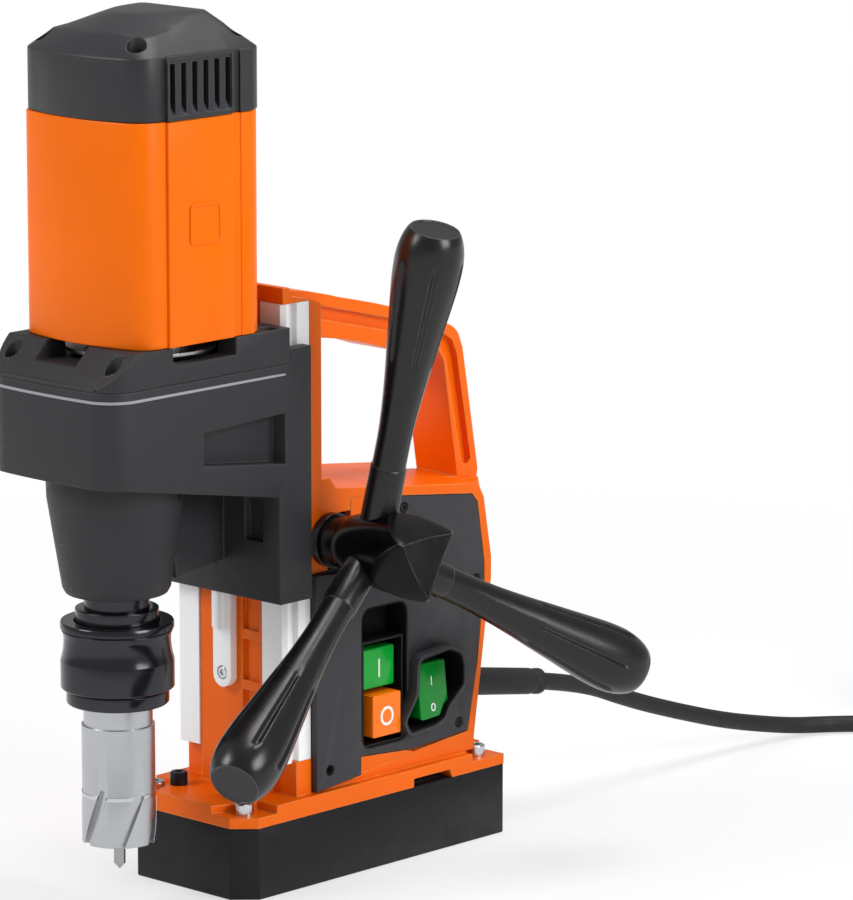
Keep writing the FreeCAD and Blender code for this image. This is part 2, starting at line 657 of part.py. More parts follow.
def switch_box():
    """The tray that holds the start and stop buttons."""
    body = new_body("switch_box")
    slab(body, "YZ", [rect(-5.7, 25.4, 64.3, 120.7)], 22, S.half_wide)
    cells = [rect(S.button_low_y - 0.4, S.button_high_y + 0.4, low, high)
             for low, high in ((68.6, 91.6), (93.9, 116.9))]
    slab(body, "YZ", cells, 25, S.half_wide + 1, cut=True)
    node(body, "switch_box")


def buttons():
    """The flush start button and the proud stop button."""
    for name, low, high, face in (("start_button", 94.3, 116.5, 37.5), ("stop_button", 69, 91.2, 43.5)):
        body = new_body(name)
        slab(body, "YZ", [rect(S.button_low_y, S.button_high_y, low, high)], 28.6, face)
        soften(body, 0.8, lambda edge: edge.BoundBox.XMin > 37, "Fillet")
        node(body, name)


def rocker_switch():
    """The guard frame and the rocker that tips in it about an axis along Y."""
    frame = new_body("rocker_frame")
    slab(frame, "YZ", [GUARD], S.half_wide + 0.05, S.half_wide + 6)
    slab(frame, "YZ", [rect(30.3, 59.7, 66.3, 107.2)], 24, S.half_wide + 1)
    opening = rect(S.rocker_y - 10.8, S.rocker_y + 10.8, 68.6, 104.9)
    slab(frame, "YZ", [opening], 26, S.half_wide + 7, cut=True)
    less_bore(frame, S.rocker_x, S.rocker_y - 13, S.rocker_z, 1.55, 26)
    node(frame, "rocker_frame")
    rocker = new_body("rocker")
    x, z = S.rocker_x, S.rocker_z
    profile = [(x - 4, z - 13), (x + 5.2, z - 15.6), (x + 5.2, z), (x + 9.4, z + 15.4), (x - 4, z + 13)]
    slab(rocker, "XZ", [profile], S.rocker_y - 10.2, S.rocker_y + 10.2)
    slab(rocker, "XZ", [(x, z, 1.5)], S.rocker_y - 12.6, S.rocker_y + 12.6)
    node(rocker, "rocker")


def control_board():
    """The speed and magnet control board behind the cover."""
    parts = [box(4, 5.6, 4, 72, 70, 176), box(5.6, 15, 10, 30, 130, 150), box(5.6, 12, 36, 62, 128, 158),
             box(5.6, 18, 20, 32, 158, 170), box(5.6, 9, 44, 66, 88, 116)]
    node(fused(parts), "control_board")


# ---------------------------------------------------------------- drill head

def head_plan(half, front, rear, bow):
    """A plan with a bowed front and bowed sides."""
    return [(-half, front, bow), (half, front), (half, rear), (-half, rear)]


def gearbox_housing():
    """Gear case, nose and carriage in one casting."""
    body = new_body("gearbox_housing")
    half = S.head_half
    slab(body, "XY", [head_plan(half, S.head_front, S.cover_rear, 3)], 205, S.head_split)
    soften(body, 17, lambda edge: upright(edge) and edge.BoundBox.YMax < -150)
    under = [(-200, 204), (-60, 204), (-60, 208), (-74, 209.5), (-178, 228), (-200, 229)]
    slab(body, "YZ", [under], -50, 50, cut=True)
    slab(body, "XY", [[(-half, S.carriage_front), (half, S.carriage_front), (half, S.carriage_rear),
                       (-half, S.carriage_rear)]], S.carriage_low, S.carriage_high)
    web = [(-20, -120), (20, -120), (S.web_half, S.carriage_front + 1), (-S.web_half, S.carriage_front + 1)]
    slab(body, "XY", [web], 171, 212)
    slab(body, "XY", [[(-50, -75), (50, -75), (50, S.cover_rear + 0.1), (-50, S.cover_rear + 0.1)]],
         S.head_split, S.carriage_high + 1, cut=True)
    nose = [(0, S.nose_low), (26, S.nose_low), (27.6, 168), (35, 214.5), (35.5, 230), (0, 230)]
    spin(body, nose, 0, S.spindle_y)
    head_hollows(body)
    node(body, "gearbox_housing")


def head_hollows(body):
    """Gear space, nose bore, rail space, side pockets and screw holes."""
    half = S.head_half
    slab(body, "XY", [[(-41, -176), (-35, -182), (35, -182), (41, -176), (41, -128), (33, -122), (33, -80),
                       (-33, -80), (-33, -122), (-41, -128)]], 232, S.head_split + 1, cut=True)
    spin(body, [(0, 160), (17.2, 160), (17.2, 172), (S.nose_bore, 172), (S.nose_bore, 233), (0, 233)],
         0, S.spindle_y, cut=True)
    slab(body, "XY", [(S.lay_x, S.lay_y, 5.06)], 226, 233, cut=True)
    behind = S.carriage_rear + 1
    rails = [(-40.1, S.carriage_back), (40.1, S.carriage_back), (40.1, behind), (-40.1, behind)]
    slab(body, "XY", [rails], S.carriage_low - 1, S.carriage_high + 1, cut=True)
    slab(body, "XY", [BAR_GROOVE], S.carriage_low - 1, S.carriage_high + 1, cut=True)
    rack_seat = [(8, S.carriage_back - 0.1), (16, S.carriage_back - 0.1), (16, -57.1), (8, -57.1)]
    slab(body, "XY", [rack_seat], 250, 283)
    for side in (-1, 1):
        low, high = sorted((side * 40, side * 42.2))
        slab(body, "XY", [[(low, -57.2), (high, -57.2), (high, -53.1), (low, -53.1)]], 155.8, 282.2, cut=True)
        low, high = sorted((side * 37, side * 50))
        slab(body, "YZ", [[(-125, 233), (-67.5, 226), (-67.5, 252.5), (-125, 250)]], low, high, cut=True)
        recess = [(side * 21, 184), (side * 34, 184), (side * 34, 206), (side * 21, 206)]
        slab(body, "XZ", [recess[::side]], S.carriage_front - 1, S.carriage_front + 4, cut=True)
    for z in RACK_SCREWS:
        less_bore(body, 12, -90, z, 3.8, 13.5)
        less_bore(body, 12, -80, z, 2.1, 30)
    slab(body, "XY", [(x, y, 2.1) for x, y in HEAD_SCREWS], 262, S.head_split + 1, cut=True)


BAR_GROOVE = [(-9.8, -71), (4.4, -71), (4.4, -60), (-9.8, -60)]
HEAD_SCREWS = [(-36.5, -177), (36.5, -177), (-40, -73.5), (40, -73.5)]


def gearbox_cover():
    """The cover between the gear case and the motor, with its slanted front."""
    body = new_body("gearbox_cover")
    low = S.head_split + 0.1
    slab(body, "XY", [head_plan(S.head_half, S.head_front, S.cover_rear, 3)], low, S.cover_high)
    soften(body, 17, lambda edge: upright(edge) and edge.BoundBox.YMax < -150)
    slant = [(-200, low + 2), (S.head_front - 0.5, low + 2), (-170.5, S.cover_high + 0.5),
             (-200, S.cover_high + 0.5)]
    slab(body, "YZ", [slant], -60, 60, cut=True)
    slab(body, "XY", [(0, S.motor_y, 39.2)], low + 8, S.cover_high + 1, cut=True)
    slab(body, "XY", [(0, S.motor_y, 11.1)], low - 1, low + 9, cut=True)
    for side in (-1, 1):
        low_x, high_x = sorted((side * 28, side * 50))
        slab(body, "YZ", [rect(-145.7, -102, low + 9.4, S.cover_high + 0.1)], low_x, high_x, cut=True)
    slab(body, "XZ", [[(-18, low + 9), (12, low + 9), (12, S.cover_high + 0.1), (-18, S.cover_high + 0.1)]],
         -200, -148, cut=True)
    slab(body, "XY", [BAR_GROOVE], low - 1, S.cover_high + 1, cut=True)
    slab(body, "XY", [(x, y, 2.2) for x, y in HEAD_SCREWS], low - 1, S.cover_high + 1, cut=True)
    slab(body, "XY", [(x, y, 4.4) for x, y in HEAD_SCREWS], low + 4, S.cover_high + 1, cut=True)
    node(body, "gearbox_cover")
    group("gearbox_screws", [cap_screw(x, y, low + 4, 2, 16, 4, 3.8) for x, y in HEAD_SCREWS])


def gib_strips():
    strips = []
    for side in (-1, 1):
        low, high = sorted((side * (S.groove_floor.value + 0.4), side * 42))
        strips.append(box(low, high, -57, -53.3, 159, 282))
    group("gib_strips", strips)


CAP_SCREWS = [(-33, -156), (33, -156), (-33, -90), (33, -90)]


def motor():
    """Motor housing and its vented cap."""
    body = new_body("motor_housing")
    half, front, rear = S.motor_half_x, S.motor_front, S.motor_rear
    bow, side_bow = S.front_bow.value, S.side_bow.value
    plan = [(-half, front, bow), (half, front, side_bow), (half, rear), (-half, rear, side_bow)]
    slab(body, "XY", [plan], S.motor_low, S.motor_high)
    soften(body, S.corner, upright)
    slab(body, "XY", [(0, S.motor_y, S.motor_bore)], S.motor_low - 1, S.motor_high - 6, cut=True)
    slab(body, "XY", [(0, S.motor_y, 11)], S.motor_high - 8, S.motor_high + 1, cut=True)
    slab(body, "XY", [(x, y, 2.05) for x, y in CAP_SCREWS], S.motor_high - 6, S.motor_high + 1, cut=True)
    node(body, "motor_housing")
    cap = new_body("motor_cap")
    slab(cap, "XY", [plan], S.motor_high + 0.1, S.cap_high)
    soften(cap, S.corner, upright)
    slab(cap, "XY", [(0, S.motor_y, 36)], S.motor_high - 1, S.cap_rim - 4, cut=True)
    over = S.cap_high + 2
    for side in (-1, 1):
        slant = [(side * 50, S.cap_rim - 5), (side * 27, S.cap_high - 1), (side * 26, over),
                 (side * 50, over)]
        slab(cap, "XZ", [slant[::side]], S.motor_y - 55, S.motor_y + 55, cut=True)
        low, high = sorted((side * 30, side * 50))
        slots = [rect(-141.5 + 7.6 * i, -137.4 + 7.6 * i, 413, 437) for i in range(6)]
        slab(cap, "YZ", slots, low, high, cut=True)
    slab(cap, "YZ", [[(-180, S.cap_rim - 5), (-158, 448), (-78, S.cap_high), (-78, over), (-180, over)]],
         -60, 60, cut=True)
    slab(cap, "XY", [(x, y, 2.1) for x, y in CAP_SCREWS], S.motor_high - 1, S.cap_high, cut=True)
    slab(cap, "XY", [(x, y, 5) for x, y in CAP_SCREWS], S.cap_rim - 3, S.cap_high + 1, cut=True)
    node(cap, "motor_cap")
    group("cap_screws", [cap_screw(x, y, S.cap_rim - 3, 2, 33, 4, 4) for x, y in CAP_SCREWS])


def ring(name, inner, outer, low, high, y, x=0):
    body = new_body(name)
    spin(body, [(inner, low), (outer, low), (outer, high), (inner, high)], x, y)
    return body


def motor_inside():
    """Stator, brush holders, bearings and the armature that turns in them."""
    node(ring("stator", 25, 38.2, 318, 378, S.motor_y), "stator")
    holders = [box(side * 25 - 12.2, side * 25 + 12.2, S.motor_y - 5, S.motor_y + 5, 386, 398)
               for side in (-1, 1)]
    group("brush_holders", holders)
    group("armature_bearings", [ring("bearing", 5.05, 11, 279, 286, S.motor_y),
                                ring("bearing", 5.05, 10.9, 401.5, 408.5, S.motor_y)])
    plate = new_body("bearing_plate")
    spin(plate, [(11.3, 286.5), (34, 286.5), (38.8, 289), (38.8, 290.6), (28, 290.6), (28, 294.5),
                 (25, 294.5), (25, 289.5), (11.3, 289.5)], 0, S.motor_y)
    node(plate, "bearing_plate")
    shaft = new_body("armature_shaft")
    spin(shaft, [(0, S.first_low - 1), (2.6, S.first_low - 1), (2.6, S.first_high), (5, S.first_high + 1),
                 (5, 320), (22, 320), (22, 374), (5, 374), (5, 411), (0, 411)], 0, S.motor_y)
    first_tooth = mesh_phase(S.armature_teeth, True)
    pinion = spur_gear("armature_pinion", S.first_module, S.armature_teeth, first_tooth,
                       S.first_low.value, S.first_high.value, 0)
    pinion.Placement = FreeCAD.Placement(V(0, S.motor_y.value, S.first_low.value), FreeCAD.Rotation())
    node(fused([shaft, pinion]), "armature")
    blades = [ring("hub", 5.05, 8, 299, 312, S.motor_y)]
    for i in range(10):
        turn = FreeCAD.Rotation(V(0, 0, 1), 36 * i)
        blade = DOC.addObject("Part::Box", "Blade")
        blade.Length, blade.Width, blade.Height = 23, 1.4, 11
        blade.Placement = FreeCAD.Placement(turn.multVec(V(7, -0.7, 300)) + V(0, S.motor_y.value, 0), turn)
        blades.append(blade)
    blades.append(ring("backplate", 7.9, 30, 298.5, 300.2, S.motor_y))
    node(fused(blades), "fan")
    node(ring("commutator", 5.05, 12, 382, 400, S.motor_y), "commutator")


# ---------------------------------------------------------------- gear train and spindle

def mesh_phase(teeth, armature):
    """The angle of a small gear's first tooth so that it points at a gap of the gear it meshes with."""
    if armature:
        return math.atan2(S.lay_y.value - S.motor_y.value, S.lay_x.value)
    return math.atan2(S.spindle_y.value - S.lay_y.value, -S.lay_x.value)


def gear_train():
    """Layshaft with its pinion, its large gear, and the spindle's gear, all in mesh."""
    shaft = new_body("layshaft_shaft")
    spin(shaft, [(0, 226.5), (5, 226.5), (5, S.second_low), (6.5, S.second_low), (6.5, S.second_high + 2),
                 (5, 253), (5, 276.5), (0, 276.5)], S.lay_x, S.lay_y)
    first_tooth = mesh_phase(S.lay_pinion_teeth, False)
    pinion = spur_gear("lay_pinion", S.second_module, S.lay_pinion_teeth, first_tooth,
                       S.second_low.value, S.second_high.value, 0)
    pinion.Placement = FreeCAD.Placement(V(S.lay_x.value, S.lay_y.value, S.second_low.value),
                                         FreeCAD.Rotation())
    node(fused([shaft, pinion]), "layshaft")
    toward = mesh_phase(S.armature_teeth, True) + math.pi
    gear = spur_gear("lay_gear", S.first_module, S.lay_teeth, toward + math.pi / S.lay_teeth.value,
                     S.first_low.value, S.first_high.value, 5.05)
    gear.Placement = FreeCAD.Placement(V(S.lay_x.value, S.lay_y.value, S.first_low.value), FreeCAD.Rotation())
    node(gear, "lay_gear")
    toward = mesh_phase(S.lay_pinion_teeth, False) + math.pi
    gear = spur_gear("spindle_gear", S.second_module, S.spindle_teeth,
                     toward + math.pi / S.spindle_teeth.value,
                     S.second_low.value, S.second_high.value, 12.55)
    gear.Placement = FreeCAD.Placement(V(0, S.spindle_y.value, S.second_low.value), FreeCAD.Rotation())
    node(gear, "spindle_gear")


def spindle():
    """The hollow spindle and its two bearings."""
    body = new_body("spindle")
    spin(body, [(6.6, 137), (11.9, 137), (11.9, 157), (16.7, 157), (16.7, 171), (12.5, 171), (12.5, 254),
                (0, 254), (0, 168), (6.6, 168)], 0, S.spindle_y)
    node(body, "spindle")
    bearings = [ring("bearing", 12.56, S.nose_bore - 0.02, low, low + 14, S.spindle_y) for low in (173, 214)]
    group("spindle_bearings", bearings)


def chuck():
    """Tool holder, its lifting release sleeve and the spring between them."""
    body = new_body("chuck_body")
    low = S.chuck_low
    spin(body, [(S.shank_radius + 0.05, low), (25.4, low), (26.2, low + 0.8), (26.2, 114.5), (18, 114.5),
                (18, 148), (21.3, 148), (21.3, 156.8), (11.95, 156.8), (11.95, 136.8),
                (S.shank_radius + 0.05, 136.8)], 0, S.spindle_y)
    node(body, "chuck_body")
    sleeve = new_body("chuck_sleeve")
    spin(sleeve, [(18.06, 115.5), (28.4, 115.5), (29, 116.2), (29, 128.6), (27.9, 130), (27.5, 134),
                  (27.6, 142), (28.2, 145.4), (27.6, 145.6), (27.6, 146.4), (29, 146.6), (29, 149.6),
                  (28.4, 150.3), (22.2, 150.3), (22.2, 124), (18.06, 124)], 0, S.spindle_y)
    node(sleeve, "chuck_sleeve")
    coil_spring("chuck_spring", 20.1, 1.2, 124.4, 147.6, 6)


def coil_spring(name, radius, wire, low, high, turns):
    """The turns of a spring of round wire about the spindle's axis, as separate closed rings."""
    gap = (high - low - 2 * wire) / (turns - 1)
    rings = []
    for i in range(turns):
        turn = DOC.addObject("Part::Torus", "Turn")
        bind(turn, "Radius1", radius)
        bind(turn, "Radius2", wire)
        place(turn, 0, S.spindle_y, low + wire + gap * i)
        rings.append(turn)
    group(name, rings)


def cutter():
    """The annular cutter: shank, cup and six slanted chip flutes that end in teeth."""
    body = new_body("cutter")
    bore = S.pilot_radius + 0.08
    spin(body, [(bore, 135), (S.shank_radius, 135), (S.shank_radius, 107), (17.65, 107), (17.65, 96.3),
                (18.7, 96.3), (18.7, 62), (S.cutter_radius, 60), (S.cutter_radius, S.cutter_low),
                (S.cutter_bore, S.cutter_low), (S.cutter_bore, 90), (bore, 90)], 0, S.spindle_y)
    solid = DOC.addObject("Part::Feature", "cutter_flutes")
    flutes = []
    for i in range(6):
        flute = Part.makeBox(5, 3.4, 34, V(S.cutter_radius.value - 1.7, -1.7, -17))
        flute.rotate(V(0, 0, 0), V(1, 0, 0), 20)
        flute.translate(V(0, 0, 48))
        gullet = Part.makeBox(8, 4.2, 7, V(14, -2.1, 31))
        pair = flute.fuse(gullet)
        pair.rotate(V(0, 0, 0), V(0, 0, 1), 60 * i + 20)
        flutes.append(pair)
    solid.Shape = Part.makeCompound(flutes)
    solid.Placement = FreeCAD.Placement(V(0, S.spindle_y.value, 0), FreeCAD.Rotation())
    node(less(body, solid), "cutter")


def pilot():
    """The sprung centring and ejector pin inside the cutter."""
    body = new_body("pilot_pin")
    radius, tip = S.pilot_radius, S.pilot_tip
    spin(body, [(0, tip), (radius, tip + 3.3), (radius, 135.1), (5.5, 135.1), (5.5, S.pilot_top),
                (0, S.pilot_top)],
         0, S.spindle_y)
    node(body, "pilot_pin")
    coil_spring("pilot_spring", 4.4, 0.7, 139.4, 167.6, 10)


# ---------------------------------------------------------------- mains cord

GLAND_TIP = (20.0, 152.4, 69.3)
ROUTE = [GLAND_TIP, (20.0, 187, 62.3), (20.0, 229.5, 44.6), (20.0, 271.5, 30.3), (20.0, 309, 18.6),
         (20.8, 343, 10.4),
         (24, 366, 5.9), (32.1, 384.3, 4.75), (45.5, 399.2, 4.75), (61.3, 411.5, 4.75), (76.8, 424.2, 4.75),
         (90.5, 435, 4.75)]


def strain_relief():
    """The tapered boot that the cord leaves the housing by."""
    body = new_body("boot")
    root = V(S.cord_x.value, S.gland_y.value + 1.5, S.gland_z.value)
    tip = V(*GLAND_TIP)
    along = tip - root
    length = along.Length
    spin(body, [(0, 0), (8.4, 0), (8.4, 3), (7.6, 4.5), (7.2, length - 9), (6.4, length - 7),
                (7.1, length - 4),
                (7.1, length - 1), (6.3, length), (0, length)])
    place(body, root.x, root.y, root.z, FreeCAD.Rotation(V(0, 0, 1), along))
    stub = cylinder(6, 22, S.cord_x, S.gland_y - 19, S.gland_z, ALONG_PLUS_Y)
    node(fused([body, stub]), "strain_relief")


def tube_path(points):
    """Straight runs joined by tangent arcs, each arc as large as its two runs allow."""
    edges, radii = [], []
    here = points[0]
    for i in range(1, len(points) - 1):
        before, corner, after = points[i - 1], points[i], points[i + 1]
        back, ahead = (before - corner), (after - corner)
        turn = math.pi - back.getAngle(ahead)
        reach = 0.45 * min(back.Length, ahead.Length)
        radii.append(reach / math.tan(turn / 2))
        start = corner + V(back).normalize() * reach
        end = corner + V(ahead).normalize() * reach
        inward = (V(back).normalize() + V(ahead).normalize()).normalize()
        depth = radii[-1] / math.cos(turn / 2) - radii[-1]
        edges.append(Part.LineSegment(here, start).toShape())
        edges.append(Part.Arc(start, corner + inward * depth, end).toShape())
        here = end
    edges.append(Part.LineSegment(here, points[-1]).toShape())
    return Part.Wire(edges), radii


def mains_cord():
    """The tube along the stretch that isn't coiled, and the coil of the rest."""
    points = [V(*point) for point in ROUTE]
    wire, radii = tube_path(points)
    along = (points[1] - points[0]).normalize()
    section = Part.Wire([Part.makeCircle(S.cord_radius.value, points[0], along)])
    tube = wire.makePipeShell([section], True, True)
    area = math.pi * S.cord_radius.value ** 2
    print("cord radii", ["%.0f" % radius for radius in radii])
    print("cord length %.1f, volume ratio %.5f" % (wire.Length, tube.Volume / (area * wire.Length)))
    thing = DOC.addObject("Part::Feature", "mains_cord")
    thing.Shape = tube
    node(thing, "mains_cord")


def cord_coil():
    body = new_body("cord_coil")
    inner, outer, high = S.coil_inner, S.coil_outer, S.coil_high
    spin(body, [(inner + 3, 0), (outer - 3, 0), (outer, 3), (outer, high - 3), (outer - 3, high),
                (inner + 3, high),
                (inner, high - 3), (inner, 3)], S.coil_x, S.coil_y)
    node(body, "cord_coil")


def plug():
    """A round two-pin mains plug that lies on the coil."""
    turn = FreeCAD.Rotation(V(0, 0, 1), V(-1, 0.25, 0))
    body = new_body("plug_shell")
    spin(body, [(0, -24), (6, -24), (7.5, 0), (13, 3), (16.5, 9), (17, 26), (S.plug_radius, 29),
                (S.plug_radius, 41), (0, 41)])
    pins = [new_body("pin") for _ in range(2)]
    for pin, x in zip(pins, (-9.5, 9.5)):
        spin(pin, [(0, 35), (2.35, 35), (2.35, 59), (1.6, 60), (0, 60)], x, 0)
    place(body, *PLUG_AT, turn)
    node(body, "plug_body")
    for pin in pins:
        place(pin, *PLUG_AT, turn)
    group("plug_pins", pins)


PLUG_AT = (82, 545, 57)


def build():
    magnet()
    foot_screws()
    stand_frame()
    guide_rails()
    stop_bar()
    feed_rack()
    pinion_shaft()
    capstan()
    side_cover()
    switch_box()
    buttons()
    rocker_switch()
    control_board()
    gearbox_housing()
    gearbox_cover()
    gib_strips()
    motor()
    motor_inside()
    gear_train()
    spindle()
    chuck()
    cutter()
    pilot()
    strain_relief()
    mains_cord()
    cord_coil()
    plug()


def check():
    """Stop if anything in the document failed, or if a sub-part has no valid shape."""
    DOC.recompute()
    faults = []
    for thing in DOC.Objects:
        if any(state in ("Invalid", "Error") for state in thing.State):
            faults.append("%s (%s) %s" % (thing.Label, thing.TypeId, thing.State))
    for thing in NODES:
        if thing.Shape.isNull() or not thing.Shape.isValid() or not thing.Shape.Solids:
            faults.append(thing.Label + " has no valid shape")
    if faults:
        raise SystemExit("\n".join(faults))


def write():
    os.makedirs("parts", exist_ok=True)
    for thing in NODES:
        thing.Shape.exportStep("parts/%s.step" % thing.Label)
        print("%-20s %2d solids %10.0f mm3" % (thing.Label, len(thing.Shape.Solids), thing.Shape.Volume))


build()
check()
write()
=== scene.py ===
"""A magnetic drill press on a pale floor, finished piece by piece around its fixed frame.

The frame is in metres: X to the machine's right, Y to its back, Z up. Sizes of pieces are
written in millimetres, and the shaping functions turn them into metres.
"""

import json
import math

import bpy
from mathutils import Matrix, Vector


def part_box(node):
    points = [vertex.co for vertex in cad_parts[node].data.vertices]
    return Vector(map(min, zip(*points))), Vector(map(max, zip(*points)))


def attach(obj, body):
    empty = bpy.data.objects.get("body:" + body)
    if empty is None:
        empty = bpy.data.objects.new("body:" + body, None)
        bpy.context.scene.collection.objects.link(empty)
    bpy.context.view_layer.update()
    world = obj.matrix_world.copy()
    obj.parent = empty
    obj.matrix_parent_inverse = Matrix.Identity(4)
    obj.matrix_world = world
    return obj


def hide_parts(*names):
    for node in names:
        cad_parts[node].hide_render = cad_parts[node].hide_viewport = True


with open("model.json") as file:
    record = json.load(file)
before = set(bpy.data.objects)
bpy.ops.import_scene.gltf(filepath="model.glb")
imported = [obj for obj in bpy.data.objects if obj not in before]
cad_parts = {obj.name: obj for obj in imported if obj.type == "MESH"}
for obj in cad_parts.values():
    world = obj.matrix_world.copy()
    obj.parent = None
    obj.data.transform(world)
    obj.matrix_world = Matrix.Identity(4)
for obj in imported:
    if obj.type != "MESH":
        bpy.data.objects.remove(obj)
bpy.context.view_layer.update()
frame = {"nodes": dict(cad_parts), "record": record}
NODES = frame["nodes"]

MM = 0.001


# ---------------------------------------------------------------- finishes

# The cosine between the true and the rounded normal, at an edge that gets wear and a painted
# highlight, and on a flat.
EDGE_TURN = (0.72, 0.99)
EDGE_SPOTS_A_METRE = 160
DRIFT_A_METRE = 22
DRIFT_SHADE = 0.94
RING_SQUASH = 0.02
RING_DEPTH = 0.000006


def tone(red, green, blue):
    """A colour as a painter names it, 0 to 255 a channel, in the shader's linear values."""
    def linear(value):
        value /= 255
        return value / 12.92 if value <= 0.04045 else ((value + 0.055) / 1.055) ** 2.4

    return linear(red), linear(green), linear(blue), 1.0


def new_finish(name, colour, roughness, metallic=0.0, specular=0.26):
    """A finish with its plain colour, roughness and metalness."""
    finish = bpy.data.materials.new(name)
    finish.use_nodes = True
    shader = finish.node_tree.nodes["Principled BSDF"]
    shader.inputs["Base Color"].default_value = colour
    shader.inputs["Roughness"].default_value = roughness
    shader.inputs["Metallic"].default_value = metallic
    shader.inputs["Specular IOR Level"].default_value = specular
    return finish


def add(finish, kind, **settings):
    """A shader node of that kind with its settings."""
    made = finish.node_tree.nodes.new("ShaderNode" + kind)
    for setting, value in settings.items():
        setattr(made, setting, value)
    return made


def join(finish, start, end):
    """Links one node's output to another's input."""
    finish.node_tree.links.new(start, end)


def shader_of(finish):
    """The finish's one surface shader."""
    return finish.node_tree.nodes["Principled BSDF"]


def pattern(finish, scale, detail=3.0, stretch=(1, 1, 1)):
    """Noise with so many grains to the metre, longer along any small stretch."""
    place = add(finish, "TexCoord")
    shape = add(finish, "Mapping")
    shape.inputs["Scale"].default_value = stretch
    noise = add(finish, "TexNoise")
    noise.inputs["Scale"].default_value = scale
    noise.inputs["Detail"].default_value = detail
    join(finish, place.outputs["Object"], shape.inputs["Vector"])
    join(finish, shape.outputs["Vector"], noise.inputs["Vector"])
    return noise.outputs["Fac"]


def spread(finish, source, low, high, start=0.3, end=0.7):
    """The pattern's values from start to end, made to run from low to high."""
    band = add(finish, "MapRange")
    for socket, value in (("From Min", start), ("From Max", end),
                          ("To Min", low), ("To Max", high)):
        band.inputs[socket].default_value = value
    join(finish, source, band.inputs["Value"])
    return band.outputs["Result"]


def vary_roughness(finish, scale, low, high, stretch=(1, 1, 1)):
    """Roughness that wanders from low to high over the surface."""
    rough = spread(finish, pattern(finish, scale, stretch=stretch), low, high)
    join(finish, rough, shader_of(finish).inputs["Roughness"])


def round_edges(finish, radius):
    """Edges that look rounded off by that radius. Returns the softened normal."""
    soft = add(finish, "Bevel", samples=6)
    soft.inputs["Radius"].default_value = radius
    return soft.outputs["Normal"]


def grain(finish, scale, depth, radius=0.0005, stretch=(1, 1, 1), detail=3.0):
    """Surface grain of that depth in metres over softly rounded edges."""
    bump = add(finish, "Bump")
    bump.inputs["Strength"].default_value = 1.0
    bump.inputs["Distance"].default_value = depth
    join(finish, pattern(finish, scale, detail, stretch), bump.inputs["Height"])
    soft = round_edges(finish, radius)
    join(finish, soft, bump.inputs["Normal"])
    join(finish, bump.outputs["Normal"], shader_of(finish).inputs["Normal"])
    return soft


def lifted(colour, share, lift):
    """The colour times share, plus lift, and no brighter than white."""
    return tuple(min(1.0, share * value + lift) for value in colour[:3]) + (1.0,)


def edge_wear_and_highlight(finish, soft, base, worn_and_highlight_tone, amount=0.6):
    """Colour that drifts a little over the surface and goes to a lighter tone along the edges,
    partly wear and partly a painted highlight.
    """
    bare = add(finish, "NewGeometry")
    turn = add(finish, "VectorMath", operation="DOT_PRODUCT")
    join(finish, soft, turn.inputs[0])
    join(finish, bare.outputs["Normal"], turn.inputs[1])
    # Along the edges the colour goes to the lighter tone: wear, and a painted highlight where the
    # edge is rounded.
    edge = spread(finish, turn.outputs["Value"], amount, 0.0, *EDGE_TURN)
    edge_mask = add(finish, "Math", operation="MULTIPLY")
    join(finish, edge, edge_mask.inputs[0])
    join(finish, spread(finish, pattern(finish, EDGE_SPOTS_A_METRE), 0.2, 1.0), edge_mask.inputs[1])
    drift = add(finish, "Mix", data_type="RGBA")
    drift.inputs["A"].default_value = base
    drift.inputs["B"].default_value = lifted(base, DRIFT_SHADE, 0)
    join(finish, spread(finish, pattern(finish, DRIFT_A_METRE), 0.0, 1.0), drift.inputs["Factor"])
    edge_tone_mix = add(finish, "Mix", data_type="RGBA")
    edge_tone_mix.inputs["B"].default_value = worn_and_highlight_tone
    join(finish, drift.outputs["Result"], edge_tone_mix.inputs["A"])
    join(finish, edge_mask.outputs["Value"], edge_tone_mix.inputs["Factor"])
    join(finish, edge_tone_mix.outputs["Result"], shader_of(finish).inputs["Base Color"])


# Each finish below goes to a lighter tone along its rounded edges: partly wear, partly a painted
# highlight.
def textured_black():
    """Wrinkle-coated casting, near black with a fine even grain."""
    base = tone(46, 46, 49)
    finish = new_finish("textured_black", base, 0.52)
    soft = grain(finish, 1500, 0.00014, 0.0013)
    edge_wear_and_highlight(finish, soft, base, tone(120, 120, 124), 0.8)
    vary_roughness(finish, 700, 0.44, 0.6)
    return finish


def moulded_black():
    """Moulded plastic cap, smoother than the casting."""
    base = tone(44, 44, 47)
    finish = new_finish("moulded_black", base, 0.4, specular=0.3)
    soft = grain(finish, 2200, 0.00005, 0.0009)
    edge_wear_and_highlight(finish, soft, base, tone(120, 120, 124), 0.6)
    vary_roughness(finish, 60, 0.34, 0.44)
    return finish


def orange_plastic():
    """Motor housing: dense orange plastic with a soft sheen."""
    base = tone(240, 108, 0)
    finish = new_finish("orange_plastic", base, 0.36, specular=0.14)
    soft = grain(finish, 1800, 0.00003, 0.001)
    edge_wear_and_highlight(finish, soft, base, tone(252, 140, 50), 0.4)
    vary_roughness(finish, 40, 0.32, 0.4)
    return finish


def orange_enamel():
    """Sprayed enamel on the cast stand, with a faint orange peel."""
    base = tone(238, 102, 0)
    finish = new_finish("orange_enamel", base, 0.33, specular=0.18)
    soft = grain(finish, 420, 0.00004, 0.0012)
    edge_wear_and_highlight(finish, soft, base, tone(255, 190, 120), 0.7)
    vary_roughness(finish, 55, 0.28, 0.38)
    return finish


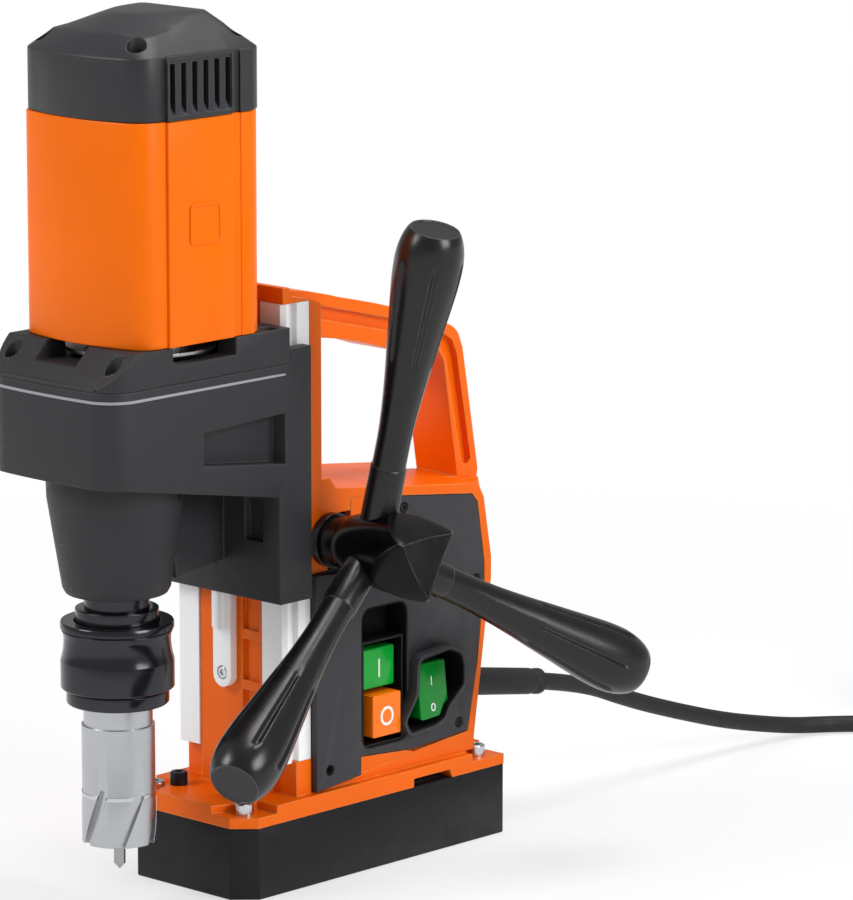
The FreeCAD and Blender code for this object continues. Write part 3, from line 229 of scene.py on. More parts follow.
def magnet_black():
    """Foot of the magnet: blackened steel with milling marks under the lacquer."""
    base = tone(25, 25, 27)
    finish = new_finish("magnet_black", base, 0.42, specular=0.2)
    soft = grain(finish, 900, 0.00004, 0.0006, stretch=(1, 0.08, 1))
    edge_wear_and_highlight(finish, soft, base, tone(96, 96, 98), 0.6)
    vary_roughness(finish, 90, 0.34, 0.5)
    return finish


def cover_black():
    """Satin plate over the switches, with a fine spark-eroded skin."""
    base = tone(54, 54, 58)
    finish = new_finish("cover_black", base, 0.48)
    soft = grain(finish, 2600, 0.00006, 0.0005)
    edge_wear_and_highlight(finish, soft, base, tone(100, 100, 104), 0.4)
    vary_roughness(finish, 120, 0.42, 0.54)
    return finish


def hub_black():
    """Polished black of the capstan hub."""
    base = tone(8, 8, 10)
    finish = new_finish("hub_black", base, 0.2, specular=0.16)
    soft = grain(finish, 260, 0.00003, 0.0014)
    # The near-white edge tone is a painted highlight along the hub's rounded edges, with a little
    # wear.
    edge_wear_and_highlight(finish, soft, base, tone(190, 190, 196), 0.9)
    vary_roughness(finish, 70, 0.16, 0.26)
    return finish


def grip_black():
    """Hand grips: smooth, slightly waxy plastic."""
    base = tone(13, 13, 15)
    finish = new_finish("grip_black", base, 0.26, specular=0.42)
    soft = grain(finish, 1400, 0.00002, 0.0008)
    edge_wear_and_highlight(finish, soft, base, tone(150, 150, 156), 0.6)
    vary_roughness(finish, 45, 0.22, 0.32)
    return finish


def steel(name, base, low, high, stretch, depth=0.00002, scale=1400):
    """Machined steel whose marks run along the small stretch."""
    finish = new_finish(name, base, low, metallic=1.0)
    soft = grain(finish, scale, depth, 0.0003, stretch=stretch)
    edge_wear_and_highlight(finish, soft, base, tone(235, 235, 236), 0.5)
    vary_roughness(finish, scale * 0.6, low, high, stretch)
    return finish


def turned_steel(name, base, low, high, centre, rings=2600, metallic=1.0):
    """Steel turned on a lathe: fine rings about an upright axis through centre."""
    finish = new_finish(name, base, low, metallic=metallic)
    place = add(finish, "TexCoord")
    shape = add(finish, "Mapping")
    shape.inputs["Scale"].default_value = (RING_SQUASH, RING_SQUASH, 1)
    shape.inputs["Location"].default_value = (*(-RING_SQUASH * middle for middle in centre), 0)
    noise = add(finish, "TexNoise")
    noise.inputs["Scale"].default_value = rings
    join(finish, place.outputs["Object"], shape.inputs["Vector"])
    join(finish, shape.outputs["Vector"], noise.inputs["Vector"])
    bump = add(finish, "Bump")
    bump.inputs["Distance"].default_value = RING_DEPTH
    join(finish, noise.outputs["Fac"], bump.inputs["Height"])
    soft = round_edges(finish, 0.0004)
    join(finish, soft, bump.inputs["Normal"])
    join(finish, bump.outputs["Normal"], shader_of(finish).inputs["Normal"])
    edge_wear_and_highlight(finish, soft, base, lifted(base, 1.6, 0.05), 0.6)
    rough = spread(finish, noise.outputs["Fac"], low, high)
    join(finish, rough, shader_of(finish).inputs["Roughness"])
    return finish


def lens(name, base):
    """Clear coloured plastic of a lit switch."""
    finish = new_finish(name, base, 0.18)
    shader = shader_of(finish)
    shader.inputs["Coat Weight"].default_value = 0.15
    shader.inputs["Coat Roughness"].default_value = 0.05
    shader.inputs["Subsurface Weight"].default_value = 0.15
    shader.inputs["Subsurface Scale"].default_value = 0.002
    soft = grain(finish, 900, 0.00002, 0.0006)
    edge_wear_and_highlight(finish, soft, base, lifted(base, 1.5, 0.03), 0.5)
    vary_roughness(finish, 300, 0.12, 0.24)
    return finish


def rubber():
    """Cord and boot: matt rubber with a faint bloom."""
    base = tone(34, 34, 36)
    finish = new_finish("rubber", base, 0.55)
    soft = grain(finish, 1800, 0.00004, 0.0003)
    edge_wear_and_highlight(finish, soft, base, tone(66, 66, 68), 0.3)
    vary_roughness(finish, 150, 0.46, 0.64)
    return finish


def winding():
    """Enamelled copper wire laid in close turns."""
    base = tone(184, 104, 52)
    finish = new_finish("winding", base, 0.3, metallic=1.0)
    soft = grain(finish, 1100, 0.0002, 0.0003, stretch=(0.1, 0.1, 1))
    edge_wear_and_highlight(finish, soft, base, tone(226, 150, 92), 0.5)
    vary_roughness(finish, 500, 0.22, 0.42)
    return finish


def plain(name, base, low, high, scale=600, depth=0.00003, metallic=0.0):
    """A simple moulded or cast finish for a piece inside the machine."""
    finish = new_finish(name, base, low, metallic=metallic)
    soft = grain(finish, scale, depth, 0.0004)
    edge_wear_and_highlight(finish, soft, base, lifted(base, 1.4, 0.02), 0.4)
    vary_roughness(finish, scale * 0.2, low, high)
    return finish


# Where the spindle's upright axis stands, in X and Y.
SPINDLE = [sum(corner[axis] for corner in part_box("chuck_body")) / 2 for axis in (0, 1)]

FINISHES = {
    "textured_black": textured_black(),
    "moulded_black": moulded_black(),
    "orange_plastic": orange_plastic(),
    "orange_enamel": orange_enamel(),
    "magnet_black": magnet_black(),
    "cover_black": cover_black(),
    "hub_black": hub_black(),
    "grip_black": grip_black(),
    # Near white and nearly matt: light steel with the studio's bright reflection painted into its
    # colour.
    "rail_steel_painted_reflection": plain("rail_steel_painted_reflection", tone(246, 247, 248), 0.28, 0.34, 900, 0.000003,
                        metallic=0.15),
    "machined_steel": steel("machined_steel", tone(170, 171, 174), 0.2, 0.36, (1, 1, 0.2)),
    "gear_steel": steel("gear_steel", tone(140, 140, 144), 0.24, 0.4, (1, 1, 0.5)),
    "screw_zinc": steel("screw_zinc", tone(205, 207, 210), 0.16, 0.32, (1, 1, 1), scale=2400),
    "screw_black": plain("screw_black", tone(34, 34, 36), 0.3, 0.45, 1500, metallic=0.6),
    "chuck_oxide": turned_steel("chuck_oxide", tone(62, 62, 66), 0.15, 0.22, SPINDLE,
                                metallic=0.9),
    "cutter_steel": turned_steel("cutter_steel", tone(190, 192, 196), 0.28, 0.36, SPINDLE,
                                 rings=1600),
    "spring_steel": steel("spring_steel", tone(150, 152, 156), 0.2, 0.32, (1, 1, 1)),
    "green_start": lens("green_start", tone(0, 158, 48)),
    "orange_stop": lens("orange_stop", tone(246, 118, 6)),
    "green_rocker": lens("green_rocker", tone(0, 128, 38)),
    "switch_black": plain("switch_black", tone(15, 15, 17), 0.36, 0.46, 1600),
    # Pale grey of the bead below the gearbox cover: a painted highlight along the seam.
    "seam_highlight_grey": plain("seam_highlight_grey", tone(150, 151, 155), 0.34, 0.46, 1500),
    # Near black, darker than the switch plastic: dark plastic with the shade inside the switch
    # recess and the rocker's well painted into it.
    "hollow_black_painted_shade": plain("hollow_black_painted_shade", tone(5, 5, 6), 0.6, 0.7, 1600),
    "mark_white": plain("mark_white", tone(236, 238, 232), 0.4, 0.5, 1600),
    "rubber": rubber(),
    "winding": winding(),
    "potting": plain("potting", tone(58, 52, 46), 0.3, 0.5, 90, 0.0001),
    "laminations": steel("laminations", tone(120, 122, 128), 0.3, 0.45, (0.05, 0.05, 1),
                         0.0002, 1300),
    "brass": plain("brass", tone(206, 172, 100), 0.24, 0.38, 900, metallic=1.0),
    "bronze": plain("bronze", tone(176, 128, 76), 0.28, 0.42, 900, metallic=1.0),
    "circuit_board": plain("circuit_board", tone(20, 92, 54), 0.34, 0.46, 900),
    "fan_plastic": plain("fan_plastic", tone(64, 66, 72), 0.4, 0.5),
}

FINISH_OF = {
    "textured_black": ["gearbox_housing", "gearbox_cover"],
    "moulded_black": ["motor_cap"],
    "orange_plastic": ["motor_housing"],
    "orange_enamel": ["stand_frame"],
    "magnet_black": ["magnet_body"],
    "cover_black": ["side_cover"],
    "hub_black": ["capstan_hub"],
    "grip_black": ["lever_grip_1", "lever_grip_2", "lever_grip_3"],
    "rail_steel_painted_reflection": ["guide_rail_left", "guide_rail_right", "stop_bar", "lever_rods",
                   "plug_pins"],
    "machined_steel": ["layshaft", "bearing_plate", "pilot_pin"],
    "gear_steel": ["feed_rack", "lay_gear", "spindle_gear", "spindle_bearings",
                   "armature_bearings"],
    "screw_zinc": ["foot_screws", "cap_screws", "gearbox_screws", "rail_screws", "rack_screws",
                   "stop_bar_screws"],
    "screw_black": ["column_screws", "cover_screws"],
    "chuck_oxide": ["chuck_body", "chuck_sleeve", "spindle", "pinion_shaft"],
    "cutter_steel": ["cutter"],
    "spring_steel": ["chuck_spring", "pilot_spring"],
    "green_start": ["start_button"],
    "orange_stop": ["stop_button"],
    "green_rocker": ["rocker"],
    "switch_black": ["switch_box", "rocker_frame"],
    "rubber": ["strain_relief", "plug_body", "cord_coil", "mains_cord"],
    "winding": ["magnet_coil"],
    "potting": ["magnet_potting"],
    "laminations": ["armature", "stator"],
    "brass": ["brush_holders", "commutator"],
    "bronze": ["pinion_bushes", "gib_strips"],
    "circuit_board": ["control_board"],
    "fan_plastic": ["fan"],
}


def paint(piece, finish):
    """Gives every slot of the piece that finish."""
    slots = piece.data.materials
    if not len(slots):
        slots.append(FINISHES[finish])
    for index in range(len(slots)):
        slots[index] = FINISHES[finish]


for finish_name, node_names in FINISH_OF.items():
    for node_name in node_names:
        paint(NODES[node_name], finish_name)


# ---------------------------------------------------------------- camera, light and floor

CAMERA_SPOT = (1.9972, -2.0103, 0.7851)
CAMERA_AZIMUTH = 43.63
CAMERA_ELEVATION = 11.338
CAMERA_LENS = 221.15
FILL_LIGHT = 0.41
FLOOR_WIDE = 60
FLOOR_LEVEL = -0.0004
# Distances from the middle, in metres, at which the floor begins and ends its fade to white.
FLOOR_FADE = (0.25, 1.0)
# Its share of plain white at those distances.
FLOOR_WHITE = (0.6, 1.0)


def look_from(azimuth, elevation, spot, lens_length):
    """The camera stands at spot and looks along that azimuth, down by that elevation."""
    made = bpy.data.objects.new("camera", bpy.data.cameras.new("camera"))
    bpy.context.scene.collection.objects.link(made)
    made.location = spot
    made.rotation_euler = (math.radians(90 - elevation), 0, math.radians(azimuth))
    made.data.lens = lens_length
    made.data.sensor_width = 36
    made.data.clip_end = 60
    bpy.context.scene.camera = made


def soft_lamp(name, spot, target, size, power):
    """A square softbox at spot that faces target."""
    light = bpy.data.lights.new(name, "AREA")
    light.size = size
    light.energy = power
    made = bpy.data.objects.new(name, light)
    bpy.context.scene.collection.objects.link(made)
    made.location = spot
    beam = Vector(target) - Vector(spot)
    made.rotation_euler = beam.to_track_quat("-Z", "Y").to_euler()


def pale_floor():
    """A wide floor that keeps the soft shadow near the machine and is white further off."""
    bpy.ops.object.select_all(action="DESELECT")
    bpy.ops.mesh.primitive_plane_add(size=FLOOR_WIDE, location=(0, 0, FLOOR_LEVEL))
    floor = bpy.context.object
    floor.name = "floor"
    finish = bpy.data.materials.new("floor_white")
    finish.use_nodes = True
    nodes = finish.node_tree.nodes
    nodes.remove(nodes["Principled BSDF"])
    matt = add(finish, "BsdfDiffuse")
    matt.inputs["Color"].default_value = (0.8, 0.8, 0.8, 1)
    glow = add(finish, "Emission")
    blend = add(finish, "MixShader")
    place = add(finish, "TexCoord")
    away = add(finish, "VectorMath", operation="LENGTH")
    join(finish, place.outputs["Object"], away.inputs[0])
    far = spread(finish, away.outputs["Value"], *FLOOR_WHITE, *FLOOR_FADE)
    ray = add(finish, "LightPath")
    seen = add(finish, "Math", operation="MAXIMUM")
    join(finish, ray.outputs["Is Camera Ray"], seen.inputs[0])
    join(finish, ray.outputs["Is Glossy Ray"], seen.inputs[1])
    clear = add(finish, "Math", operation="MAXIMUM")
    join(finish, seen.outputs["Value"], clear.inputs[0])
    join(finish, ray.outputs["Is Transmission Ray"], clear.inputs[1])
    share = add(finish, "Math", operation="MULTIPLY")
    join(finish, clear.outputs["Value"], share.inputs[0])
    join(finish, far, share.inputs[1])
    join(finish, share.outputs["Value"], blend.inputs["Fac"])
    join(finish, matt.outputs["BSDF"], blend.inputs[1])
    join(finish, glow.outputs["Emission"], blend.inputs[2])
    join(finish, blend.outputs["Shader"], nodes["Material Output"].inputs["Surface"])
    floor.data.materials.append(finish)


def studio():
    """Even grey-white surroundings that the camera sees as white."""
    world = bpy.data.worlds.new("studio")
    bpy.context.scene.world = world
    world.use_nodes = True
    tree = world.node_tree
    fill = tree.nodes["Background"]
    fill.inputs["Color"].default_value = (1, 1, 1, 1)
    fill.inputs["Strength"].default_value = FILL_LIGHT
    white = tree.nodes.new("ShaderNodeBackground")
    white.inputs["Strength"].default_value = 1.0
    ray = tree.nodes.new("ShaderNodeLightPath")
    seen = tree.nodes.new("ShaderNodeMath")
    seen.operation = "MAXIMUM"
    blend = tree.nodes.new("ShaderNodeMixShader")
    tree.links.new(ray.outputs["Is Camera Ray"], seen.inputs[0])
    tree.links.new(ray.outputs["Is Transmission Ray"], seen.inputs[1])
    tree.links.new(seen.outputs["Value"], blend.inputs["Fac"])
    tree.links.new(fill.outputs["Background"], blend.inputs[1])
    tree.links.new(white.outputs["Background"], blend.inputs[2])
    tree.links.new(blend.outputs["Shader"], tree.nodes["World Output"].inputs["Surface"])


bpy.context.scene.view_settings.view_transform = "Standard"
look_from(CAMERA_AZIMUTH, CAMERA_ELEVATION, CAMERA_SPOT, CAMERA_LENS)
studio()
pale_floor()
soft_lamp("key_softbox", (-0.9, -1.7, 1.5), (0, -0.05, 0.2), 0.9, 26)
soft_lamp("side_softbox", (1.9, 0.2, 1.0), (0, 0, 0.2), 0.9, 24)
soft_lamp("top_softbox", (0.2, 0.4, 1.9), (0, 0, 0.2), 1.0, 20)


# ---------------------------------------------------------------- mains cord

CORD = 9.5 * MM
# From the boot down to the floor and along it, in millimetres.
CORD_RUN = [(20, 152.4, 69.3), (20, 187, 62.3), (20, 229.5, 44.6), (20, 271.5, 30.3),
            (20, 309, 18.6), (20.8, 343, 10.4), (24, 366, 5.9), (32.1, 384.3, 4.75),
            (45.5, 399.2, 4.75), (61.3, 411.5, 4.75), (76.8, 424.2, 4.75), (90.5, 435, 4.75)]
# From the top of the coil into the plug.
CORD_TAIL = [(121.9, 462.6, 34.6), (130.2, 477.4, 38.5), (133.8, 492, 43.2), (133.3, 507, 48.3),
             (128.8, 521, 52.8), (119.5, 532.2, 55.8), (105.3, 539.2, 57)]
# The coil's turns in degrees: where they start, how far they go, how far apart the points
# are, and how long a step to the next turn takes.
COIL_START = -51.7
COIL_END = 3600
COIL_POINT = 15
COIL_STEP = 60
COIL_LAYERS = 4


def coil_moves():
    """Each step of the coil, as the turn at which it begins, diameters across, diameters up.

    A layer has two steps across, and then one up to the next layer, which goes back."""
    moves = []
    begin, side = 0, -1
    for layer in range(COIL_LAYERS):
        first = 300 if layer == 0 else 240
        moves += [(begin + first, side, 0), (begin + first + 360, side, 0),
                  (begin + first + 660, 0, 1)]
        begin += first + 720
        side = -side
    return moves


def wound_turns():
    """The cord's points round the coil, its turns a diameter apart."""
    low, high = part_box("cord_coil")
    centre = Vector(((low[0] + high[0]) / 2, (low[1] + high[1]) / 2, 0))
    outer = (high[0] - low[0]) / 2 - CORD / 2
    moves = coil_moves()
    points = []
    for turn in range(0, COIL_END + 1, COIL_POINT):
        across, up = 0.0, 0.0
        for begin, sideways, rise in moves:
            share = min(max((turn - begin) / COIL_STEP, 0), 1)
            share = share * share * (3 - 2 * share)
            across += sideways * share
            up += rise * share
        radius = outer + across * CORD
        at = math.radians(COIL_START + turn)
        level = CORD / 2 + up * CORD
        points.append(centre + Vector((radius * math.cos(at), radius * math.sin(at), level)))
    return points


def mains_cord():
    """One smooth line from the boot, along the floor, round the coil and up into the plug."""
    route = [Vector(point) * MM for point in CORD_RUN] + wound_turns()
    route += [Vector(point) * MM for point in CORD_TAIL]
    line = bpy.data.curves.new("mains_cord_line", "CURVE")
    line.dimensions = "3D"
    line.resolution_u = 10
    line.bevel_depth = CORD / 2
    line.bevel_resolution = 5
    spline = line.splines.new("NURBS")
    spline.points.add(len(route) - 1)
    for point, spot in zip(spline.points, route):
        point.co = (*spot, 1)
    spline.use_endpoint_u = True
    spline.order_u = 3
    cord = bpy.data.objects.new("mains_cord_line", line)
    bpy.context.scene.collection.objects.link(cord)
    paint(cord, "rubber")
    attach(cord, "stand")
    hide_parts("mains_cord", "cord_coil")


mains_cord()


# ---------------------------------------------------------------- shaping

BODY_OF = {node: body for body, nodes in frame["record"]["behaviour"]["bodies"].items()
           for node in nodes}
DOUBLES = 0.000004
# A softened corner takes at most this share of each edge beside it.
CORNER_SHARE = 0.45


def alone(piece):
    """The piece is the only one chosen, and the active one."""
    bpy.ops.object.select_all(action="DESELECT")
    piece.select_set(True)
    bpy.context.view_layer.objects.active = piece


def shape(piece, operator, **settings):
    """One edit-mode operator on what is selected in the piece."""
    alone(piece)
    bpy.ops.object.mode_set(mode="EDIT")
    operator(**settings)
    bpy.ops.object.mode_set(mode="OBJECT")


def shape_all(piece, operator, **settings):
    """One edit-mode operator on the whole piece."""
    shape(piece, bpy.ops.mesh.select_all, action="SELECT")
    shape(piece, operator, **settings)


def face_outward(piece):
    """Turns every face of a closed piece outwards."""
    shape_all(piece, bpy.ops.mesh.normals_make_consistent, inside=False)


def modify(piece, kind, **settings):
    """A modifier that is applied at once."""
    alone(piece)
    modifier = piece.modifiers.new(kind.title(), kind)
    for setting, value in settings.items():
        setattr(modifier, setting, value)
    bpy.ops.object.modifier_apply(modifier=modifier.name)


def ease(piece, width, angle=30, segments=3):
    """Rounds off every edge sharper than the angle."""
    modify(piece, "BEVEL", width=width * MM, segments=segments, limit_method="ANGLE",
           angle_limit=math.radians(angle), use_clamp_overlap=False, miter_outer="MITER_ARC")


def dress(piece, finish, body):
    """Smooths and paints a finished piece, and puts it on its body."""
    alone(piece)
    bpy.ops.object.shade_smooth_by_angle(angle=math.radians(35))
    paint(piece, finish)
    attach(piece, body)


def settle(piece, finish, node):
    """Dresses a finished piece that stands for that node."""
    dress(piece, finish, BODY_OF[node])
    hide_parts(node)


def twin(name, source):
    """A new piece with its own copy of the source's mesh."""
    piece = bpy.data.objects.new(name, source.data.copy())
    bpy.context.scene.collection.objects.link(piece)
    return piece


def copied(node):
    """A node's shape as a new piece, its doubles merged."""
    piece = twin(node + "_made", NODES[node])
    shape_all(piece, bpy.ops.mesh.remove_doubles, threshold=DOUBLES)
    return piece


def turned(name, profile, around=72):
    """A solid turned about the upright axis from its profile of (radius, height) pairs."""
    bpy.ops.object.select_all(action="DESELECT")
    radius, height = profile[0]
    bpy.ops.mesh.primitive_circle_add(vertices=around, radius=radius * MM, fill_type="NGON",
                                      location=(0, 0, height * MM))
    piece = bpy.context.object
    piece.name = name
    bpy.ops.object.transform_apply(location=True)
    bpy.ops.object.mode_set(mode="EDIT")
    bpy.ops.mesh.select_all(action="SELECT")
    for wide, level in profile[1:]:
        rise = (0, 0, (level - height) * MM)
        bpy.ops.mesh.extrude_region_move(TRANSFORM_OT_translate={"value": rise})
        share = wide / radius
        bpy.ops.transform.resize(value=(share, share, 1), center_override=(0, 0, level * MM))
        radius, height = wide, level
    bpy.ops.mesh.select_all(action="SELECT")
    bpy.ops.mesh.normals_make_consistent(inside=False)
    bpy.ops.object.mode_set(mode="OBJECT")
    return piece


def choose(piece, test):
    """Selects the vertices that pass the test."""
    for polygon in piece.data.polygons:
        polygon.select = False
    for edge in piece.data.edges:
        edge.select = False
    for vertex in piece.data.vertices:
        vertex.select = bool(test(vertex.co))


def lay(piece, spot, along):
    """Takes a piece made about the upright axis to spot, its axis along that direction."""
    alone(piece)
    piece.rotation_euler = Vector(along).to_track_quat("Z", "Y").to_euler()
    piece.location = Vector(spot) * MM
    bpy.ops.object.transform_apply(location=True, rotation=True)


def plate(name, outline, low, high):
    """A slab across X between two levels, from an outline of (Y, Z) pairs."""
    bpy.ops.object.select_all(action="DESELECT")
    bpy.ops.mesh.primitive_circle_add(vertices=len(outline), radius=0.01, fill_type="NGON")
    piece = bpy.context.object
    piece.name = name
    for vertex, (y, z) in zip(piece.data.vertices, outline):
        vertex.co = (low * MM, y * MM, z * MM)
    thick = ((high - low) * MM, 0, 0)
    shape_all(piece, bpy.ops.mesh.extrude_region_move, TRANSFORM_OT_translate={"value": thick})
    face_outward(piece)
    return piece


def rounded(y0, y1, z0, z1, radius, steps=5):
    """The outline of a rectangle with rounded corners."""
    points = []
    corners = ((y1 - radius, z1 - radius, 0), (y0 + radius, z1 - radius, 90),
               (y0 + radius, z0 + radius, 180), (y1 - radius, z0 + radius, 270))
    for y, z, start in corners:
        for step in range(steps + 1):
            turn = math.radians(start + 90 * step / steps)
            points.append((y + radius * math.cos(turn), z + radius * math.sin(turn)))
    return points


def softened(points, radius, steps=4):
    """The outline with each corner rounded off."""
    made = []
    for index, corner in enumerate(points):
        here = Vector(corner)
        before = Vector(points[index - 1]) - here
        after = Vector(points[(index + 1) % len(points)]) - here
        start = here + before.normalized() * min(radius, before.length * CORNER_SHARE)
        end = here + after.normalized() * min(radius, after.length * CORNER_SHARE)
        for step in range(steps + 1):
            share = step / steps
            made.append(tuple(start.lerp(here, share).lerp(here.lerp(end, share), share)))
    return made


def post(x, y, low, high, radius):
    """An upright round tool."""
    bpy.ops.object.select_all(action="DESELECT")
    bpy.ops.mesh.primitive_cylinder_add(vertices=40, radius=radius * MM, depth=(high - low) * MM,
                                        location=(x * MM, y * MM, (low + high) / 2 * MM))
    bpy.ops.object.transform_apply(location=True)
    return bpy.context.object


def stud(y, z, low, high, radius):
    """A round tool along X."""
    piece = post(0, 0, low, high, radius)
    lay(piece, (0, y, z), (1, 0, 0))
    return piece


def trim(piece, spot, facing):
    """Cuts off what lies beyond a flat face."""
    shape_all(piece, bpy.ops.mesh.bisect, plane_co=Vector(spot) * MM, plane_no=facing,
              use_fill=True, clear_outer=True)


def combine(piece, tool, operation="DIFFERENCE"):
    """Cuts the tool from the piece or joins it on, and takes the tool away."""
    modify(piece, "BOOLEAN", operation=operation, object=tool, solver="EXACT")
    bpy.data.objects.remove(tool, do_unlink=True)


# ---------------------------------------------------------------- castings

# How far each casting's edges are rounded off, and its finish.
EASED = {
    "gearbox_housing": (0.5, "textured_black"),
    "gearbox_cover": (0.4, "textured_black"),
    "magnet_body": (0.8, "magnet_black"),
    "chuck_body": (0.3, "chuck_oxide"),
}
# The bead with the painted seam highlight: its levels, its front, and how far it stands out.
SEAM_BEAD = (272, 273)
SEAM_FRONT = -67.8
SEAM_PROUD = 0.3


def eased_castings():
    """The castings whose edges are rounded off, and otherwise left as they are."""
    for node, (width, finish) in EASED.items():
        casting = copied(node)
        ease(casting, width)
        settle(casting, finish, node)


def seam_bead():
    """A thin pale bead round the gearbox below its cover, its grey a painted highlight along the
    seam.
    """
    bead = copied("gearbox_housing")
    low, high = SEAM_BEAD
    trim(bead, (0, 0, low), (0, 0, -1))
    trim(bead, (0, 0, high), (0, 0, 1))
    trim(bead, (0, SEAM_FRONT, 0), (0, 1, 0))
    shape_all(bead, bpy.ops.transform.shrink_fatten, value=SEAM_PROUD * MM)
    bead.name = "gearbox_seam_highlight"
    dress(bead, "seam_highlight_grey", "drill_head")


# ---------------------------------------------------------------- chuck and cutter

CHUCK_SPOT = (SPINDLE[0] / MM, SPINDLE[1] / MM, 0)
UPRIGHT = (0, 0, 1)
SLEEVE_PROFILE = [(18.06, 115.5), (28.4, 115.5), (29, 116.2), (29, 129.9), (28.8, 130.6),
                  (28.2, 132.8), (27.7, 135.2), (27.4, 138), (27.3, 141.2), (27.5, 143.4),
                  (28.3, 145.2), (28.3, 145.6), (27.8, 145.9), (28.3, 146.3), (29, 146.7),
                  (29, 149.5), (28.5, 150.3), (19, 150.3)]
# The sleeve is bored wide from this level up, and close round the chuck below it.
SLEEVE_STEP = 125
SLEEVE_BORES = (18.1, 22.2)
CUTTER_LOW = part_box("cutter")[0][2] / MM
CUTTER_PROFILE = [(19, CUTTER_LOW), (19, 60), (18.7, 61.4), (18.7, 96.3), (17.65, 96.3),
                  (17.65, 107), (9.5, 107), (9.5, 135)]
CUTTER_CUP = 15.4
CUTTER_CUP_TOP = 88
BAND_PROFILE = [(19.12, 59.4), (19.12, 61.4)]
BAND_BORE = 18
FLUTES = 6
FLUTE_SIZE = (8, 5, 42)
FLUTE_RADIUS = 20.2
FLUTE_RISE = 10
FLUTE_LEAN = -23
FLUTE_TURN = -31


def chuck_sleeve():
    """Release sleeve with a waisted grip between two lips."""
    made = turned("chuck_sleeve_made", SLEEVE_PROFILE, 96)
    close, wide = SLEEVE_BORES
    combine(made, post(0, 0, SLEEVE_STEP - 1, 160, wide))
    combine(made, post(0, 0, 110, SLEEVE_STEP, close))
    lay(made, CHUCK_SPOT, UPRIGHT)
    settle(made, "chuck_oxide", "chuck_sleeve")


def flute_tool(turn):
    """The slanted bar that one chip flute is cut with, at its turn about the axis."""
    bpy.ops.object.select_all(action="DESELECT")
    bpy.ops.mesh.primitive_cube_add(size=MM)
    tool = bpy.context.object
    tool.scale = FLUTE_SIZE
    tool.rotation_euler = (math.radians(FLUTE_LEAN), 0, 0)
    tool.location = (FLUTE_RADIUS * MM, 0, (CUTTER_LOW + FLUTE_RISE) * MM)
    bpy.ops.object.transform_apply(location=True, rotation=True, scale=True)
    tool.rotation_euler = (0, 0, turn)
    bpy.ops.object.transform_apply(rotation=True)
    return tool


def cutter():
    """Annular cutter with slanted chip flutes that open between the teeth."""
    made = turned("cutter_made", CUTTER_PROFILE, 96)
    band = turned("cutter_band", BAND_PROFILE, 96)
    combine(band, post(0, 0, 50, 70, BAND_BORE))
    for piece in (made, band):
        for flute in range(FLUTES):
            combine(piece, flute_tool(math.radians(FLUTE_TURN + 360 / FLUTES * flute)))
    combine(made, post(0, 0, CUTTER_LOW - 1, CUTTER_CUP_TOP, CUTTER_CUP))
    low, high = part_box("pilot_pin")
    combine(made, post(0, 0, 80, 140, (high[0] - low[0]) / 2 / MM + 0.1))
    lay(made, CHUCK_SPOT, UPRIGHT)
    settle(made, "cutter_steel", "cutter")
    lay(band, CHUCK_SPOT, UPRIGHT)
    dress(band, "screw_zinc", "spindle_tool")


# ---------------------------------------------------------------- capstan

FEED_AXIS = (0, -30, 180)
ARMS = 3
ARM_ROOT = 71.4
ARM_TILT = math.radians(15.5)
ARM_PHASES = [math.radians(91.2 + 360 / ARMS * arm) for arm in range(ARMS)]

# Radius and distance along the lever.
GRIP_PROFILE = [(9.4, 15), (9.4, 46), (9.1, 46.8), (8.8, 47), (8.7, 48), (8.7, 60), (8.9, 68),
                (9.5, 78), (10.3, 88), (11.2, 97), (12, 104), (12.25, 106), (12.5, 108),
                (12.95, 112), (13.85, 120), (14.65, 127), (15.5, 134), (16.3, 141),
                (16.95, 147), (17.3, 152), (17.47, 156), (17.5, 158.5), (17.45, 161),
                (17.3, 163), (16.95, 166), (16.1, 170), (15.1, 173), (13.9, 175.6),
                (12.9, 177), (12.3, 177), (12.1, 176.5)]
FLUTE_ENDS = (105, 162)
FLUTE_PITCH = math.radians(60)
# Half the width in degrees of a flute's hollow and of its floor, and how far each is drawn in.
FLUTE_CUTS = ((5.5, 0.945), (1, 0.965))

HUB_PROFILE = [(11.5, 45.1), (13.2, 45.8), (13.3, 54.6), (14.2, 55.2), (15, 56.5), (16.8, 62),
               (18.4, 70), (19.6, 78), (20.3, 85), (21, 92), (22, 100), (22.6, 106),
               (22.7, 109), (21.6, 111), (12, 110), (6, 109.4)]
FACET_LEVEL = 111
FACET_RADIUS = 10.5
FACET_TILT = math.radians(24)


def lever_grips():
    """Three swelling grips with six thumb flutes each."""
    first = turned("lever_grip", GRIP_PROFILE, around=96)
    low, high = FLUTE_ENDS
    for half_width, share in FLUTE_CUTS:
        def in_flute(spot, wide=math.radians(half_width)):
            turn = math.atan2(spot.y, spot.x) % FLUTE_PITCH
            return low * MM < spot.z < high * MM and min(turn, FLUTE_PITCH - turn) < wide

        choose(first, in_flute)
        shape(first, bpy.ops.transform.resize, value=(share, share, 1),
              center_override=(0, 0, 0))
    out, inward = math.sin(ARM_TILT), math.cos(ARM_TILT)
    for arm, phase in enumerate(ARM_PHASES, 1):
        grip = twin("lever_grip_%d_made" % arm, first)
        along = (out, inward * math.cos(phase), inward * math.sin(phase))
        lay(grip, (ARM_ROOT, *FEED_AXIS[1:]), along)
        settle(grip, "grip_black", "lever_grip_%d" % arm)
    bpy.data.objects.remove(first, do_unlink=True)


